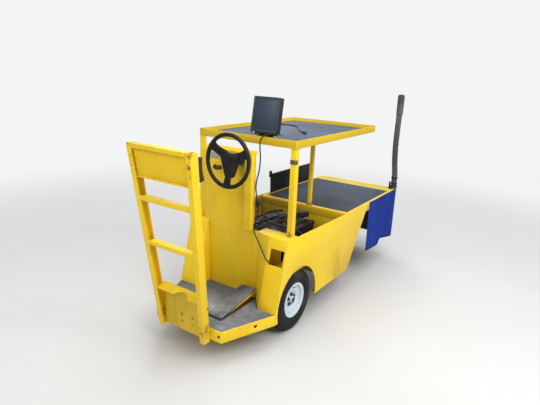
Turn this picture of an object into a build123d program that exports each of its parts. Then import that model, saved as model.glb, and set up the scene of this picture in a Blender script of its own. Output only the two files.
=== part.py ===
# Three-wheeled electric burden carrier with a stand-on platform, ladder backrest, writing tray
# and cargo deck. Millimetres, +Z up, +X towards the cargo deck, +Y to the driver's left.
# Pieces are drawn from the drive axle (x = 0) on the centre plane (y = 0) with the floor at z = 0,
# and are moved at the end so that the origin is on the floor under the middle of the outline.
import os
from math import atan, cos, hypot, pi, radians, sin, sqrt, tan

from build123d import *

# Plate, clearances and small common sizes
sheet = 5.0                # steel plate of the body
seat_gap = 0.3             # clearance between pieces that sit together
cord_gap = 0.7             # clearance at the ends of a cord
run_gap = 0.05             # radial running clearance of a shaft in its hole
move_gap = 7.0             # clearance between pieces that move past each other

# Wheels, the same on all three
tyre_radius = 208.0
tyre_width = 122.0
bead_radius = 102.0
flange_radius = bead_radius + 16.0
rim_width = 94.0
hub_radius = 42.0
hub_width = 70.0
hub_nose = 40.0            # outer end of the hub from the wheel's middle
disc_offset = 16.0         # wheel disc from the wheel's middle
axle_radius = 12.5
lug_circle = 30.0
lug_count = 5

# Body between the platform and the deck
body_half = 394.0          # half width over the side panels
side_bottom = 170.0        # lower edge of the side panels
side_front_low = 745.0     # where the front edge starts to rake forward
side_tip = 1060.0          # foremost point of the side panels, at deck height
shoulder_low_x = -260.0    # rear face of the body at the platform
shoulder_top_x = -149.0    # rear face of the body at its top
shoulder_top = 666.0
left_corner = 145.0        # width of the left rear corner at the platform
right_corner = 132.0
left_inner = body_half - left_corner
right_inner = body_half - right_corner
inner_rise = 6.0           # how far the inner edges lean in towards the top
arch_radius = tyre_radius + 28.0
wheel_inset = 12.0         # body side to the wheel's outer face
side_lip = 30.0            # width of the turned lower edge

# Square port in the right rear corner
port_size = 98.0
port_edge = 16.0           # body side to the port
port_y = body_half - port_edge - port_size
port_low = 500.0

# Standing platform
platform_top = 222.0
platform_depth = 72.0
platform_rear_x = -608.0
platform_rear_half = 260.0
floor_drop = 8.0           # rim top to floor plate
mat_thick = 6.0
rim_hole = 11.0            # radius of the hole in the right rim
rim_hole_x = -392.0
rim_hole_rise = 40.0       # its height above the platform's lower edge
rib_depth = 36.0
rib_xs = (-500.0, -330.0)
pedal_rear = -500.0
pedal_front = -156.0
pedal_left = -56.0
pedal_right = -172.0
pedal_lift = 62.0
pedal_base = 9.0           # its rear edge above the floor plate
pedal_plate = 4.0
pedal_skirt = 3.0          # thickness of the turned side edges
pedal_skirt_drop = 22.0
pedal_skirt_start = 40.0   # where the side edges begin, from the hinge
pedal_hinge = 6.0          # radius of the pedal's hinge barrel
pedal_stop = 9.0           # radius of the post under the pedal
pedal_stop_x = 90.0        # its distance ahead of the pedal's middle

# Dash
dash_x = -130.0            # rear face
dash_top = 1170.0
dash_left = 286.0
dash_low_left = left_inner - 3.0
dash_right = -118.0
dash_low_right = -150.0
dash_step = 4.0            # the step in its outline above the top of the body
dash_post_width = 62.0
dash_post_depth = 34.0
dash_post_wall = 4.0
dash_flange = 36.0
dash_bend = 21.0           # rise and reach of the strip bent forward along the top

# Ladder backrest: its rear plane leans back and its uprights spread towards the top
ladder_low_z = 134.0
ladder_top_z = 1256.0
ladder_lean = 149.0 / 1091.0
ladder_low_half = 178.0
ladder_spread = 51.0 / 1091.0
upright_depth = 50.0
upright_width = 34.0
upright_wall = 5.0
header_low = 1076.0
header_plate = 4.0
top_rail_height = 24.0
rung_height = 26.0
rung_depth = 44.0
rung_tops = (968.0, 704.0)
rung_wall = 3.0
kick_low = 160.0
kick_top = 428.0
kick_inset = 32.0          # its rear face from the platform's rear edge
kick_fall = 23.0           # how far its top flange slopes down to the rear
scoop_radius = 58.0
scoop_depth = 35.0
scoop_y = -31.0
hitch_y = -32.0
hitch_z = 237.0
hitch_span_y = 86.0
hitch_span_z = 45.0
hitch_hole = 5.0
pad_thick = 58.0
pad_low = 1092.0
pad_top = 1232.0
pad_half = 224.0
pad_slant = 8.0            # how far its ends draw in towards the operator

# Writing tray
tray_rear = -90.0
tray_front = 1093.0
tray_half = 378.0
tray_top = 1258.0
tray_rim = 48.0
tray_sink = 28.0           # rim top to mat top
tray_sheet = 4.0
tray_mat = 4.0
stiffener_y = 150.0        # the two channels under the pan
stiffener_half = 18.0
post_size = 38.0
post_wall = 3.0
far_post = 50.0            # legs of the far corner's angle
front_post_size = 28.0
front_post_y = -55.0
foot_half = 26.0
foot_plate = 4.0

# Display box on the tray
display_width = 190.0
display_height = 214.0
display_thick = 52.0
display_lean = 9.0
display_y = -111.0
display_x = -58.0          # its lower rear edge
display_rise = 48.0        # that edge above the mat

# Cargo deck
deck_rear = 676.0
deck_front = 1721.0
deck_top = 640.0           # top of the edge rails
deck_sink = 6.0            # rail top to mat top
rail_width = 20.0
rail_depth = 65.0
rear_rail_width = 34.0
deck_plate = 4.0
cross_xs = (880.0, 1110.0, 1450.0, 1620.0)
cross_width = 36.0
cross_depth = 44.0
rail_sheet = 4.0
rail_lip = 30.0            # width of the rails' turned lower edges
bed_half = 120.0           # half width of the plate that carries the fork head
bed_sheet = 12.0
apron_low = 182.0
apron_inset = 30.0         # each end of the apron from the rail's end
apron_sheet = 4.0
apron_return = 24.0        # depth of its turned edges
board_rear = 792.0
board_front = 1484.0
board_height = 160.0
board_thick = 14.0
board_inset = 3.0          # its outer face from the deck's side
latch_size = (32.0, 10.0, 52.0)
cloth_rear = 1096.0
cloth_folds = 5
cloth_thick = 8.0
fold_depth = 8.0
pole_inset_x = 22.0        # the pole's foot from the deck's front edge
pole_inset_y = 25.0        # and from the body side
pole_radius = 27.0
sleeve_radius = 31.0
sleeve_length = 170.0
socket_plate = 6.0
socket_cup = 22.0
socket_radius = 30.0

# Battery bay
bay_floor_z = 320.0
well_gap = 13.0            # tyre to the well's inner wall
well_half = body_half - wheel_inset - tyre_width - well_gap
well_top = 2 * tyre_radius + 16.0
well_front = arch_radius + 8.0
battery_length = 262.0
battery_width = 181.0
battery_height = 252.0
battery_gap = 6.0
cap_height = 20.0
battery_rear = 30.0
cap_inset = 46.0           # ends of the filler cap bar from the case's ends
cap_half = 26.0
terminal_inset = 26.0
terminal_radius = 9.0
terminal_height = 18.0
cable_radius = 6.0
jumper_lift = 34.0         # highest rise of a jumper between its ends
lug_radius = 8.0
lug_height = 8.0
battery_lead = 8.0         # radius of the two leads to the connector
lead_lug = 14.0            # height of the lug at the end of such a lead
lead_space = 12.0          # each lead from the middle of the connector's clamp
grommet_radius = 9.0
connector_length = 96.0
connector_width = 44.0
connector_height = 40.0
connector_clamp = 8.0      # how far its cable clamp stands out behind it
connector_back = 40.0      # its middle from the front edge of the batteries' place
connector_x = battery_rear + 2 * battery_length - connector_back
connector_y = -80.0
connector_turn = -40.0

# Chassis and drive
chassis_y = 150.0
chassis_width = 40.0
chassis_depth = 60.0
chassis_front = 752.0
chassis_wall = 4.0
axle_tube_radius = 35.0
housing_radius = 92.0
pinion_radius = 62.0
saddle_half = 44.0
stub_reach = 40.0          # the stub ends past the middle of the wheels
motor_radius = 84.0
motor_length = 270.0
motor_start = 96.0
motor_edge = 6.0
motor_recess = 30.0

# Front fork
steer_x = 1282.0
steer_trail = 24.0
fork_gap = 68.0            # half the space between the legs
fork_leg = 12.0
fork_leg_width = 56.0
crown_z = 446.0
crown_thick = 22.0
stem_radius = 25.0
stem_gap = 14.0            # top of the stem to the deck plate
head_radius = 48.0
head_low = 482.0
spacer_wall = 6.0

# Steering wheel
wheel_y = -12.0
wheel_z = 1115.0
wheel_tilt = 3.0
wheel_plane = -267.0       # plane of the rim
wheel_radius = 156.0
wheel_grip = 12.5
hub_dish = 42.0
column_radius = 24.0
column_start = 26.0        # its end behind the hub pad
column_length = 178.0
column_flange = 40.0
shaft_radius = 11.0
shaft_length = 122.0
gearbox_depth = 74.0
gearbox_half = 42.0
gearbox_low = 62.0         # below the column's axis
gearbox_high = 36.0
down_tube = 16.0
key_y = 160.0
key_z = 1032.0


def ladder_x(z):
    """The ladder's rear plane; its front face meets the platform's lower rear edge."""
    seat = platform_rear_x - seat_gap - upright_depth
    return seat - (z - platform_top + platform_depth) * ladder_lean


def ladder_half(z):
    return ladder_low_half + (z - ladder_low_z) * ladder_spread


def shoulder_x(z):
    share = (z - platform_top) / (shoulder_top - platform_top)
    return shoulder_low_x + (shoulder_top_x - shoulder_low_x) * share


def box(x0, x1, y0, y1, z0, z1):
    """A block between two corners."""
    return Pos((x0 + x1) / 2, (y0 + y1) / 2, (z0 + z1) / 2) * Box(abs(x1 - x0), abs(y1 - y0), abs(z1 - z0))


def side_face(points):
    """A flat outline from (x, z) pairs, standing on the centre plane."""
    wire = Polyline(*[(x, 0, z) for x, z in points], close=True)
    return make_face(wire)


def across(points, y0, y1):
    """An (x, z) outline run from y0 to y1."""
    return extrude(Pos(0, y0, 0) * side_face(points), amount=y1 - y0, dir=(0, 1, 0))


def plan(points, z0, z1):
    """An (x, y) outline run from z0 up to z1."""
    face = make_face(Polyline(*[(x, y, z0) for x, y in points], close=True))
    return extrude(face, amount=z1 - z0, dir=(0, 0, 1))


def facing(points, x0, x1):
    """A (y, z) outline run from x0 to x1."""
    face = make_face(Polyline(*[(x0, y, z) for y, z in points], close=True))
    return extrude(face, amount=x1 - x0, dir=(1, 0, 0))


def rod(start, direction, radius, length):
    """A round bar from a point along a direction."""
    return Plane(origin=start, z_dir=direction) * Pos(0, 0, length / 2) * Cylinder(radius, length)


def run_radii(points):
    """The widest arcs that the runs of a route leave room for."""
    radii = []
    for before, corner, after in zip(points, points[1:], points[2:]):
        first, second = Vector(corner) - Vector(before), Vector(after) - Vector(corner)
        turn = radians(first.get_angle(second))
        radii.append(0.45 * min(first.length, second.length) / tan(turn / 2))
    return radii


def tube(points, radius):
    """A round cord along straight runs joined by arcs that touch them."""
    path = FilletPolyline(*points, radius=run_radii(points))
    start = Plane(origin=path @ 0, z_dir=path % 0)
    return sweep(start * Circle(radius), path=path)


# Wheels

def tyre(x, y):
    """A pneumatic tyre with a rounded tread, three grooves and bulged side walls."""
    half, crown = tyre_width / 2, tyre_radius
    seat = rim_width / 2 - 8
    groove, groove_width = 6.0, 7.0
    outline = [(bead_radius, -seat), (bead_radius + 16, -seat - 3), (bead_radius + 52, -half),
               (crown - 30, -half + 5), (crown - 6, -half + 17)]
    for centre in (-24.0, 0.0, 24.0):
        outline += [(crown - abs(centre) / 12, centre - groove_width / 2),
                    (crown - groove, centre - groove_width / 2 + 1),
                    (crown - groove, centre + groove_width / 2 - 1),
                    (crown - abs(centre) / 12, centre + groove_width / 2)]
    outline += [(crown - 6, half - 17), (crown - 30, half - 5), (bead_radius + 52, half),
                (bead_radius + 16, seat + 3), (bead_radius, seat)]
    face = make_face(Polyline(*[(r, w, 0) for r, w in outline], close=True))
    return Pos(x, y, tyre_radius) * revolve(face, Axis.Y)


def rim(x, y, outward):
    """A pressed disc wheel with a rolled flange on each side, its hub, and the lug nuts."""
    edge, lip = rim_width / 2, 6.0
    disc_y = disc_offset
    barrel = bead_radius - seat_gap
    outline = [(barrel - 5, -edge + 9), (barrel - 4, -edge), (flange_radius, -edge - 3),
               (flange_radius, -edge + 3), (barrel, -edge + lip), (barrel, edge - lip),
               (flange_radius, edge - 3), (flange_radius, edge + 3), (barrel - 4, edge),
               (barrel - 5, disc_y + 8), (barrel - 22, disc_y + 16), (barrel - 44, disc_y + 12),
               (hub_radius + 6, disc_y), (axle_radius + run_gap, disc_y),
               (axle_radius + run_gap, disc_y - 12), (hub_radius + 8, disc_y - 6),
               (barrel - 44, disc_y + 6), (barrel - 22, disc_y + 10), (barrel - 11, disc_y + 2)]
    body = revolve(make_face(Polyline(*[(r, w, 0) for r, w in outline], close=True)), Axis.Y)
    hub_face = [(axle_radius + run_gap, -hub_width / 2), (hub_radius - 8, -hub_width / 2),
                (hub_radius, -hub_width / 2 + 12), (hub_radius, disc_y + 3), (24.0, disc_y + 7),
                (20.0, hub_nose), (axle_radius + run_gap, hub_nose)]
    body += revolve(make_face(Polyline(*[(r, w, 0) for r, w in hub_face], close=True)), Axis.Y)
    nut = extrude(RegularPolygon(radius=7.5, side_count=6), amount=10)
    for i in range(lug_count):
        angle = 2 * pi * i / lug_count
        place = Plane(origin=(lug_circle * sin(angle), disc_y + 2, lug_circle * cos(angle)), z_dir=(0, 1, 0))
        body += place * nut
    if outward < 0:
        body = mirror(body, Plane.XZ)
    return Pos(x, y, tyre_radius) * body


# Standing platform

def recess_x():
    """Where the rear corners of the body meet the platform floor."""
    return shoulder_x(platform_top - floor_drop) - seat_gap


def platform_outline(inset):
    """The tapered plan of the platform, drawn in by inset at its rear and sides."""
    taper = (body_half - platform_rear_half) / (shoulder_low_x - platform_rear_x)
    slant = inset * sqrt(1 + taper * taper)
    rear, rear_half = platform_rear_x + inset, platform_rear_half + inset * taper - slant
    step, step_half = recess_x(), body_half - slant
    front = dash_x - seat_gap
    margin = 8.0
    return [(rear, -rear_half), (step, -step_half), (step, -right_inner + margin),
            (front, dash_low_right + margin), (front, dash_low_left - margin), (step, left_inner - margin),
            (step, step_half), (rear, rear_half)]


def platform_frame():
    base = platform_top - platform_depth
    floor = platform_top - floor_drop
    outer = plan(platform_outline(0.0), base, platform_top)
    hollow = plan(platform_outline(sheet), base - 1, floor - sheet)
    above = plan(platform_outline(sheet), floor, platform_top + 1)
    body = outer - hollow - above
    # the rim stops at the body, so the recess between the shoulders is floor plate alone
    body -= box(recess_x(), dash_x + 1, -body_half, body_half, floor, platform_top + 1)
    for x in rib_xs:
        share = (x - platform_rear_x) / (shoulder_low_x - platform_rear_x)
        half = platform_rear_half + (body_half - platform_rear_half) * share - 2 * sheet
        body += box(x, x + sheet, -half, half, floor - sheet - rib_depth, floor - sheet)
    share = (rim_hole_x - platform_rear_x) / (shoulder_low_x - platform_rear_x)
    hole_y = -(platform_rear_half + (body_half - platform_rear_half) * share)
    drill = Plane(origin=(rim_hole_x, hole_y, base + rim_hole_rise), z_dir=(0, 1, 0)) * Cylinder(rim_hole, 60)
    return body - drill


def platform_mat():
    floor, margin = platform_top - floor_drop, 4.0
    mat = plan(platform_outline(sheet + 2), floor, floor + mat_thick)
    return mat - box(pedal_rear - pedal_hinge - margin, dash_x, pedal_right - margin, pedal_left + margin,
                     floor - 1, floor + mat_thick + 1)


def foot_pedal():
    """A long treadle, hinged on the floor at its rear edge and raised at its front."""
    floor = platform_top - floor_drop
    low, high = floor + pedal_base, floor + pedal_base + pedal_lift
    slope = pedal_lift / (pedal_front - pedal_rear)
    plate = across([(pedal_rear, low - pedal_plate), (pedal_front, high - pedal_plate), (pedal_front, high),
                    (pedal_rear, low)], pedal_right, pedal_left)
    start = pedal_rear + pedal_skirt_start
    start_z = low + slope * pedal_skirt_start - pedal_plate / 2
    skirt = [(start, start_z), (pedal_front, high - pedal_plate / 2), (pedal_front, high - pedal_skirt_drop),
             (start, start_z - pedal_plate)]
    for y in (pedal_right, pedal_left - pedal_skirt):
        plate += across(skirt, y, y + pedal_skirt)
    barrel = rod((pedal_rear, pedal_right, floor + pedal_hinge), (0, 1, 0), pedal_hinge, pedal_left - pedal_right)
    stop_x = (pedal_front + pedal_rear) / 2 + pedal_stop_x
    stop_top = low + slope * (stop_x - pedal_rear) - pedal_plate / 2
    stop = rod((stop_x, (pedal_left + pedal_right) / 2, floor), (0, 0, 1), pedal_stop, stop_top - floor)
    return plate + barrel + stop


# Ladder backrest

def ladder_uprights():
    """Two channels with their webs outside, leaning back and spreading upwards, with holes behind."""
    # each hole in a rear flange: side, height, radius
    holes = ((-1, 1233.0, 5.0), (-1, 1184.0, 7.0), (-1, 1135.0, 5.0), (1, 1186.0, 5.0), (1, 1135.0, 5.0))
    pieces = []
    for side in (-1, 1):
        sections = []
        for z in (ladder_low_z, ladder_top_z):
            x, y = ladder_x(z), ladder_half(z)
            outer = [(x, y), (x + upright_depth, y), (x + upright_depth, y - upright_width),
                     (x + upright_depth - upright_wall, y - upright_width),
                     (x + upright_depth - upright_wall, y - upright_wall),
                     (x + upright_wall, y - upright_wall), (x + upright_wall, y - upright_width),
                     (x, y - upright_width)]
            sections.append(make_face(Polyline(*[(px, side * py, z) for px, py in outer], close=True)))
        upright = loft(sections, ruled=True)
        for hole_side, z, radius in holes:
            if hole_side == side:
                y = side * (ladder_half(z) - upright_width / 2)
                upright -= rod((ladder_x(z) - upright_wall, y, z), (1, 0, 0), radius, 3 * upright_wall)
        pieces.append(upright)
    return pieces


def between_uprights(z0, z1, x_front, x_back, trim):
    """A block across the ladder whose ends follow the uprights and whose faces lean with them."""
    corners = []
    for z in (z0, z1):
        half = ladder_half(z) - trim
        x = ladder_x(z)
        corners.append([(x + x_back, -half, z), (x + x_back, half, z), (x + x_front, half, z), (x + x_front, -half, z)])
    faces = [make_face(Polyline(*ring, close=True)) for ring in corners]
    return loft(faces, ruled=True)


def ladder_header():
    """The plate across the top of the ladder and the channel rail over it."""
    inner = upright_width + seat_gap
    plate = between_uprights(header_low, ladder_top_z - top_rail_height, header_plate + 2, 2.0, inner)
    rail = between_uprights(ladder_top_z - top_rail_height, ladder_top_z, upright_depth, 0.0, inner)
    rail -= between_uprights(ladder_top_z - top_rail_height - 1, ladder_top_z - sheet, upright_depth - sheet,
                             sheet + 2, inner - 1)
    lip = between_uprights(header_low, header_low + sheet, 20.0, 2.0, inner)
    return plate + rail + lip


def ladder_rungs():
    pieces = []
    for top in rung_tops:
        front, back = rung_depth + rung_wall, rung_wall
        rung = between_uprights(top - rung_height, top, front, back, upright_width + seat_gap)
        rung -= between_uprights(top - rung_height + rung_wall, top - rung_wall, front - rung_wall,
                                 back + rung_wall, 0.0)
        pieces.append(rung)
    return pieces


def kick_panel():
    """The plate at the foot of the ladder: its sloping top flange is scooped, its face holds the hitch holes."""
    face = platform_rear_x - kick_inset
    inner = upright_width + seat_gap
    low_half, top_half = ladder_half(kick_low) - inner, ladder_half(kick_top) - inner
    body = facing([(-low_half, kick_low), (low_half, kick_low), (top_half, kick_top), (-top_half, kick_top)],
                  face, face + sheet)
    edge_z = kick_top - kick_fall
    edge_x, edge_half = ladder_x(edge_z), ladder_half(edge_z) - inner
    body += across([(face + sheet, kick_top), (edge_x, edge_z), (edge_x, edge_z - sheet),
                    (face + sheet, kick_top - sheet)], -edge_half, edge_half)
    body += box(face + sheet / 2, platform_rear_x - seat_gap, -low_half, low_half, kick_low, kick_low + sheet)
    body -= Pos(edge_x - scoop_radius + scoop_depth, scoop_y, edge_z) * Cylinder(scoop_radius, 2 * kick_fall)
    for dy in (-hitch_span_y / 2, hitch_span_y / 2):
        for dz in (-hitch_span_z / 2, hitch_span_z / 2):
            body -= rod((face - sheet, hitch_y + dy, hitch_z + dz), (1, 0, 0), hitch_hole, 3 * sheet)
    return body


def back_pad():
    front = upright_depth + seat_gap
    pad = []
    for z in (pad_low, pad_top):
        x = ladder_x(z) + front
        pad.append(make_face(Polyline((x, -pad_half, z), (x + pad_thick, -pad_half + pad_slant, z),
                                      (x + pad_thick, pad_half - pad_slant, z), (x, pad_half, z), close=True)))
    return loft(pad, ruled=True)


# Body

def side_panel(side):
    """A body side with its wheel arch, raked ends and a stiffening lip along the bottom."""
    base = platform_top - platform_depth
    outline = [(shoulder_top_x, shoulder_top), (shoulder_low_x, platform_top), (shoulder_low_x, base),
               (0, base), (0, side_bottom), (side_front_low, side_bottom), (side_tip, deck_top - 3)]
    y0, y1 = sorted((side * body_half, side * (body_half - sheet)))
    panel = across(outline, y0, y1)
    lip0, lip1 = sorted((side * (body_half - sheet), side * (body_half - side_lip)))
    panel += box(arch_radius - 10, side_front_low, lip0, lip1, side_bottom, side_bottom + sheet)
    arch = Plane(origin=(0, 0, tyre_radius), z_dir=(0, 1, 0)) * Cylinder(arch_radius, 3 * body_half)
    return panel - arch


def shoulder(side, inner_y, recess_y):
    """A rear corner of the body: raked rear face, recess wall and top plate."""
    wall = body_half - sheet - seat_gap
    base = platform_top - floor_drop + seat_gap

    def shell_block(grow, low, high):
        """Two plan sections lofted; grow draws the rear and recess walls in."""
        faces = []
        for z, inner in ((low, inner_y), (high, inner_y - inner_rise)):
            x, outer, end = shoulder_x(z) + grow, wall + 2 * grow, dash_x + sheet + 60 * grow
            points = [(x, outer), (x, inner + grow * 0.4), (dash_x, recess_y + grow), (end, recess_y + grow),
                      (end, outer)]
            faces.append(make_face(Polyline(*[(px, side * py, z) for px, py in points], close=True)))
        return loft(faces, ruled=True)

    shell = shell_block(0.0, base, shoulder_top) - shell_block(sheet, base - 2, shoulder_top - sheet)
    y0, y1 = sorted((side * recess_y, side * wall))
    body = shell + box(dash_x + sheet, tray_rear + 52.0, y0, y1, shoulder_top - sheet, shoulder_top)
    if side < 0:
        body -= box(shoulder_low_x - sheet, dash_x + sheet, -port_y - port_size, -port_y,
                    port_low, port_low + port_size)
    return body


def bay_floor():
    """The floor of the battery bay with its two wheel wells and the raked front wall."""
    half = body_half - sheet - seat_gap
    slope = (side_tip - side_front_low) / (deck_top - 3 - side_bottom)
    top = deck_top - rail_depth - seat_gap
    lean = sheet * hypot(1, slope)
    wall = [(side_front_low - lean, side_bottom + sheet + seat_gap),
            (side_front_low, side_bottom + sheet + seat_gap),
            (side_front_low + (top - side_bottom - sheet) * slope, top),
            (side_front_low + (top - side_bottom - sheet) * slope - lean, top)]
    front = across(wall, -half, half)
    reach = side_front_low + (bay_floor_z - side_bottom - sheet) * slope - lean / 2
    body = front + box(well_front, reach, -half, half, bay_floor_z - sheet, bay_floor_z)
    rear = dash_x + sheet + seat_gap
    body += box(rear, well_front + 1, -well_half, well_half, bay_floor_z - sheet, bay_floor_z)
    for side in (-1, 1):
        y0, y1 = sorted((side * (well_half - sheet), side * well_half))
        body += box(rear, well_front, y0, y1, bay_floor_z - sheet, well_top)
        y0, y1 = sorted((side * (well_half - sheet), side * half))
        body += box(rear, well_front + sheet, y0, y1, well_top - sheet, well_top)
        body += box(well_front, well_front + sheet, y0, y1, bay_floor_z - sheet, well_top)
    x, y, z = drop_route[-1]
    body += rod((x, y, well_top - sheet), (0, 0, 1), grommet_radius, z - cord_gap - well_top + sheet)
    return body


def chassis_rails():
    """Two box rails under the bay floor."""
    top = bay_floor_z - sheet
    rear = dash_x + sheet + seat_gap
    pieces = []
    for side in (-1, 1):
        y0, y1 = side * chassis_y - chassis_width / 2, side * chassis_y + chassis_width / 2
        rail = box(rear, chassis_front, y0, y1, top - chassis_depth, top)
        rail -= box(rear - 1, chassis_front + 1, y0 + chassis_wall, y1 - chassis_wall,
                    top - chassis_depth + chassis_wall, top - chassis_wall)
        pieces.append(rail)
    return pieces


def dash_panel():
    """The tall panel in front of the operator: boxed at its right, turned at its left and along its top."""
    low, step = platform_top - floor_drop, shoulder_top + dash_step
    bend_z, skew = dash_top - dash_bend, sheet / sqrt(2)
    outline = [(dash_low_right, low), (dash_low_left, low), (dash_low_left, step), (dash_left, step),
               (dash_left, bend_z), (dash_right, bend_z), (dash_right, step), (dash_low_right, step)]
    panel = facing(outline, dash_x, dash_x + sheet)
    strip = [(dash_x, bend_z - sheet), (dash_x, bend_z), (dash_x + dash_bend, dash_top),
             (dash_x + dash_bend + skew, dash_top - skew), (dash_x + sheet, bend_z + sheet - 2 * skew),
             (dash_x + sheet, bend_z - sheet)]
    panel += across(strip, dash_right, dash_left)
    panel += box(dash_x, dash_x + dash_flange, dash_left - sheet, dash_left, step, bend_z)
    post = box(dash_x - dash_post_depth, dash_x, dash_right, dash_right + dash_post_width, step, dash_top)
    post = fillet(post.edges().filter_by(Axis.Z).group_by(Axis.X)[0], 2 * dash_post_wall)
    post -= box(dash_x - dash_post_depth + dash_post_wall, dash_x, dash_right + dash_post_wall,
                dash_right + dash_post_width - dash_post_wall, shoulder_top, dash_top + 1)
    clearance = 1.5
    bore = Plane(origin=(dash_x, wheel_y, column_z(dash_x)), z_dir=(1, 0, 0)) * Cylinder(
        column_radius + clearance, 60)
    return panel + post - bore


# Writing tray and its posts

def tray_pan():
    """The pan of the tray with its rim and two stiffeners underneath."""
    low = tray_top - tray_rim
    floor = tray_top - tray_sink - tray_mat
    outer = box(tray_rear, tray_front, -tray_half, tray_half, low, tray_top)
    outer = fillet(outer.edges().filter_by(Axis.Z), 12)
    inner = box(tray_rear + tray_sheet, tray_front - tray_sheet, -tray_half + tray_sheet, tray_half - tray_sheet,
                floor, tray_top + 1)
    under = box(tray_rear + tray_sheet, tray_front - tray_sheet, -tray_half + tray_sheet, tray_half - tray_sheet,
                low - 1, floor - tray_sheet)
    body = outer - inner - under
    wall = 3.0
    for y in (-stiffener_y, stiffener_y):
        rib = box(tray_rear + tray_sheet, tray_front - tray_sheet, y - stiffener_half, y + stiffener_half,
                  low + wall, floor - tray_sheet)
        rib -= box(tray_rear, tray_front, y - stiffener_half + wall, y + stiffener_half - wall, low,
                   floor - tray_sheet - wall)
        body += rib
    return body


def tray_mat_piece():
    floor = tray_top - tray_sink - tray_mat
    edge = tray_sheet + 2
    return box(tray_rear + edge, tray_front - edge, -tray_half + edge, tray_half - edge, floor, floor + tray_mat)


def square_tube(x, y, size, wall, z0, z1):
    outer = box(x - size / 2, x + size / 2, y - size / 2, y + size / 2, z0, z1)
    outer = fillet(outer.edges().filter_by(Axis.Z), wall + 1)
    return outer - box(x - size / 2 + wall, x + size / 2 - wall, y - size / 2 + wall, y + size / 2 - wall, z0, z1)


def tray_posts():
    """The near corner tube, the far corner angle and the single tube at the front."""
    under = tray_top - tray_sink - tray_mat - tray_sheet
    inset = tray_sheet + seat_gap
    corner_x, corner_y = tray_rear + inset + post_size / 2, tray_half - inset - post_size / 2
    near = square_tube(corner_x, -corner_y, post_size, post_wall, shoulder_top, under)
    x0, y1 = tray_rear + inset, tray_half - inset
    far = box(x0, x0 + far_post, y1 - far_post, y1, shoulder_top, under)
    far -= box(x0 + sheet, x0 + far_post + 1, y1 - far_post - 1, y1 - sheet, shoulder_top - 1, under + 1)
    front = square_tube(deck_rear + rear_rail_width / 2, front_post_y, front_post_size, post_wall - 0.5,
                        deck_top, under)
    foot = box(deck_rear + 1, deck_rear + rear_rail_width - 1, front_post_y - foot_half,
               front_post_y + foot_half, deck_top, deck_top + foot_plate)
    return [near, far, front + foot]


# Cargo deck

def deck_frame():
    """Edge rails, plate, cross members and the plate that carries the fork head."""
    half = body_half - sheet
    low = deck_top - rail_depth
    plate_top = deck_top - deck_sink - mat_thick
    outer = box(deck_rear, deck_front, -half, half, low, deck_top)
    well = box(deck_rear + rear_rail_width, deck_front - rail_width, -half + rail_width, half - rail_width,
               plate_top, deck_top + 1)
    wall, bed = half - rail_sheet, plate_top - deck_plate
    under = box(deck_rear + rail_sheet, deck_front - rail_sheet, -wall, wall, low + rail_sheet, bed)
    open_low = box(deck_rear + rail_lip, deck_front - rail_lip, -half + rail_lip, half - rail_lip,
                   low - 1, low + rail_sheet + 1)
    body = outer - well - under - open_low
    for x in cross_xs:
        body += box(x, x + cross_width, -wall, wall, bed - cross_depth, bed)
    body += box(cross_xs[1], cross_xs[2] + cross_width, -bed_half, bed_half,
                bed - cross_depth, bed - cross_depth + bed_sheet)
    body += Pos(steer_x, 0, (head_low + bed) / 2) * Cylinder(head_radius, bed - head_low)
    bore_top, bore_low = bed - 8.0, head_low - 10.0
    body -= Pos(steer_x, 0, (bore_low + bore_top) / 2) * Cylinder(stem_radius + run_gap, bore_top - bore_low)
    return body


def deck_mat():
    margin = 2.0
    half = body_half - sheet - rail_width - margin
    floor = deck_top - deck_sink - mat_thick
    return box(deck_rear + rear_rail_width + margin, deck_front - rail_width - margin, -half, half,
               floor, floor + mat_thick)


def front_apron():
    """The dark sheet that hangs from the front rail, with its side edges turned back."""
    half, face = body_half - sheet - apron_inset, deck_front - 10.0
    low, top = apron_low, deck_top - rail_depth
    apron = box(face - apron_sheet, face, -half, half, low, top)
    for side in (-1, 1):
        y0, y1 = sorted((side * half, side * (half - apron_sheet)))
        apron += box(face - apron_return, face, y0, y1, low, top)
    return apron


def side_board():
    """The dark board that stands on the left rail, with its latch at the rear end."""
    y1 = body_half - sheet - board_inset
    top = deck_top + board_height
    board = across([(board_rear, deck_top), (board_front, deck_top), (board_front, top),
                    (board_rear - 6.0, top + 2.0)], y1 - board_thick, y1)
    length, width, height = latch_size
    middle, lift = y1 - board_thick / 2, 4.0
    latch = box(board_rear + lift - length, board_rear + lift, middle - width / 2, middle + width / 2,
                top - height / 2 + lift, top + height / 2 + lift)
    return board + latch


# Battery bay contents

def battery_pack():
    pieces = []
    for column in range(2):
        for side in (-1, 1):
            x0 = battery_rear + column * (battery_length + battery_gap)
            y = side * (battery_width + battery_gap) / 2
            y0, y1 = y - battery_width / 2, y + battery_width / 2
            case = box(x0, x0 + battery_length, y0, y1, bay_floor_z, bay_floor_z + battery_height)
            case = fillet(case.edges().filter_by(Axis.Z), 10)
            top = bay_floor_z + battery_height
            case += box(x0 + cap_inset, x0 + battery_length - cap_inset, y - cap_half, y + cap_half,
                        top, top + cap_height)
            for dx in (terminal_inset, battery_length - terminal_inset):
                case += Pos(x0 + dx, y, top + terminal_height / 2) * Cylinder(terminal_radius, terminal_height)
            pieces.append(case)
    return pieces


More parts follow.
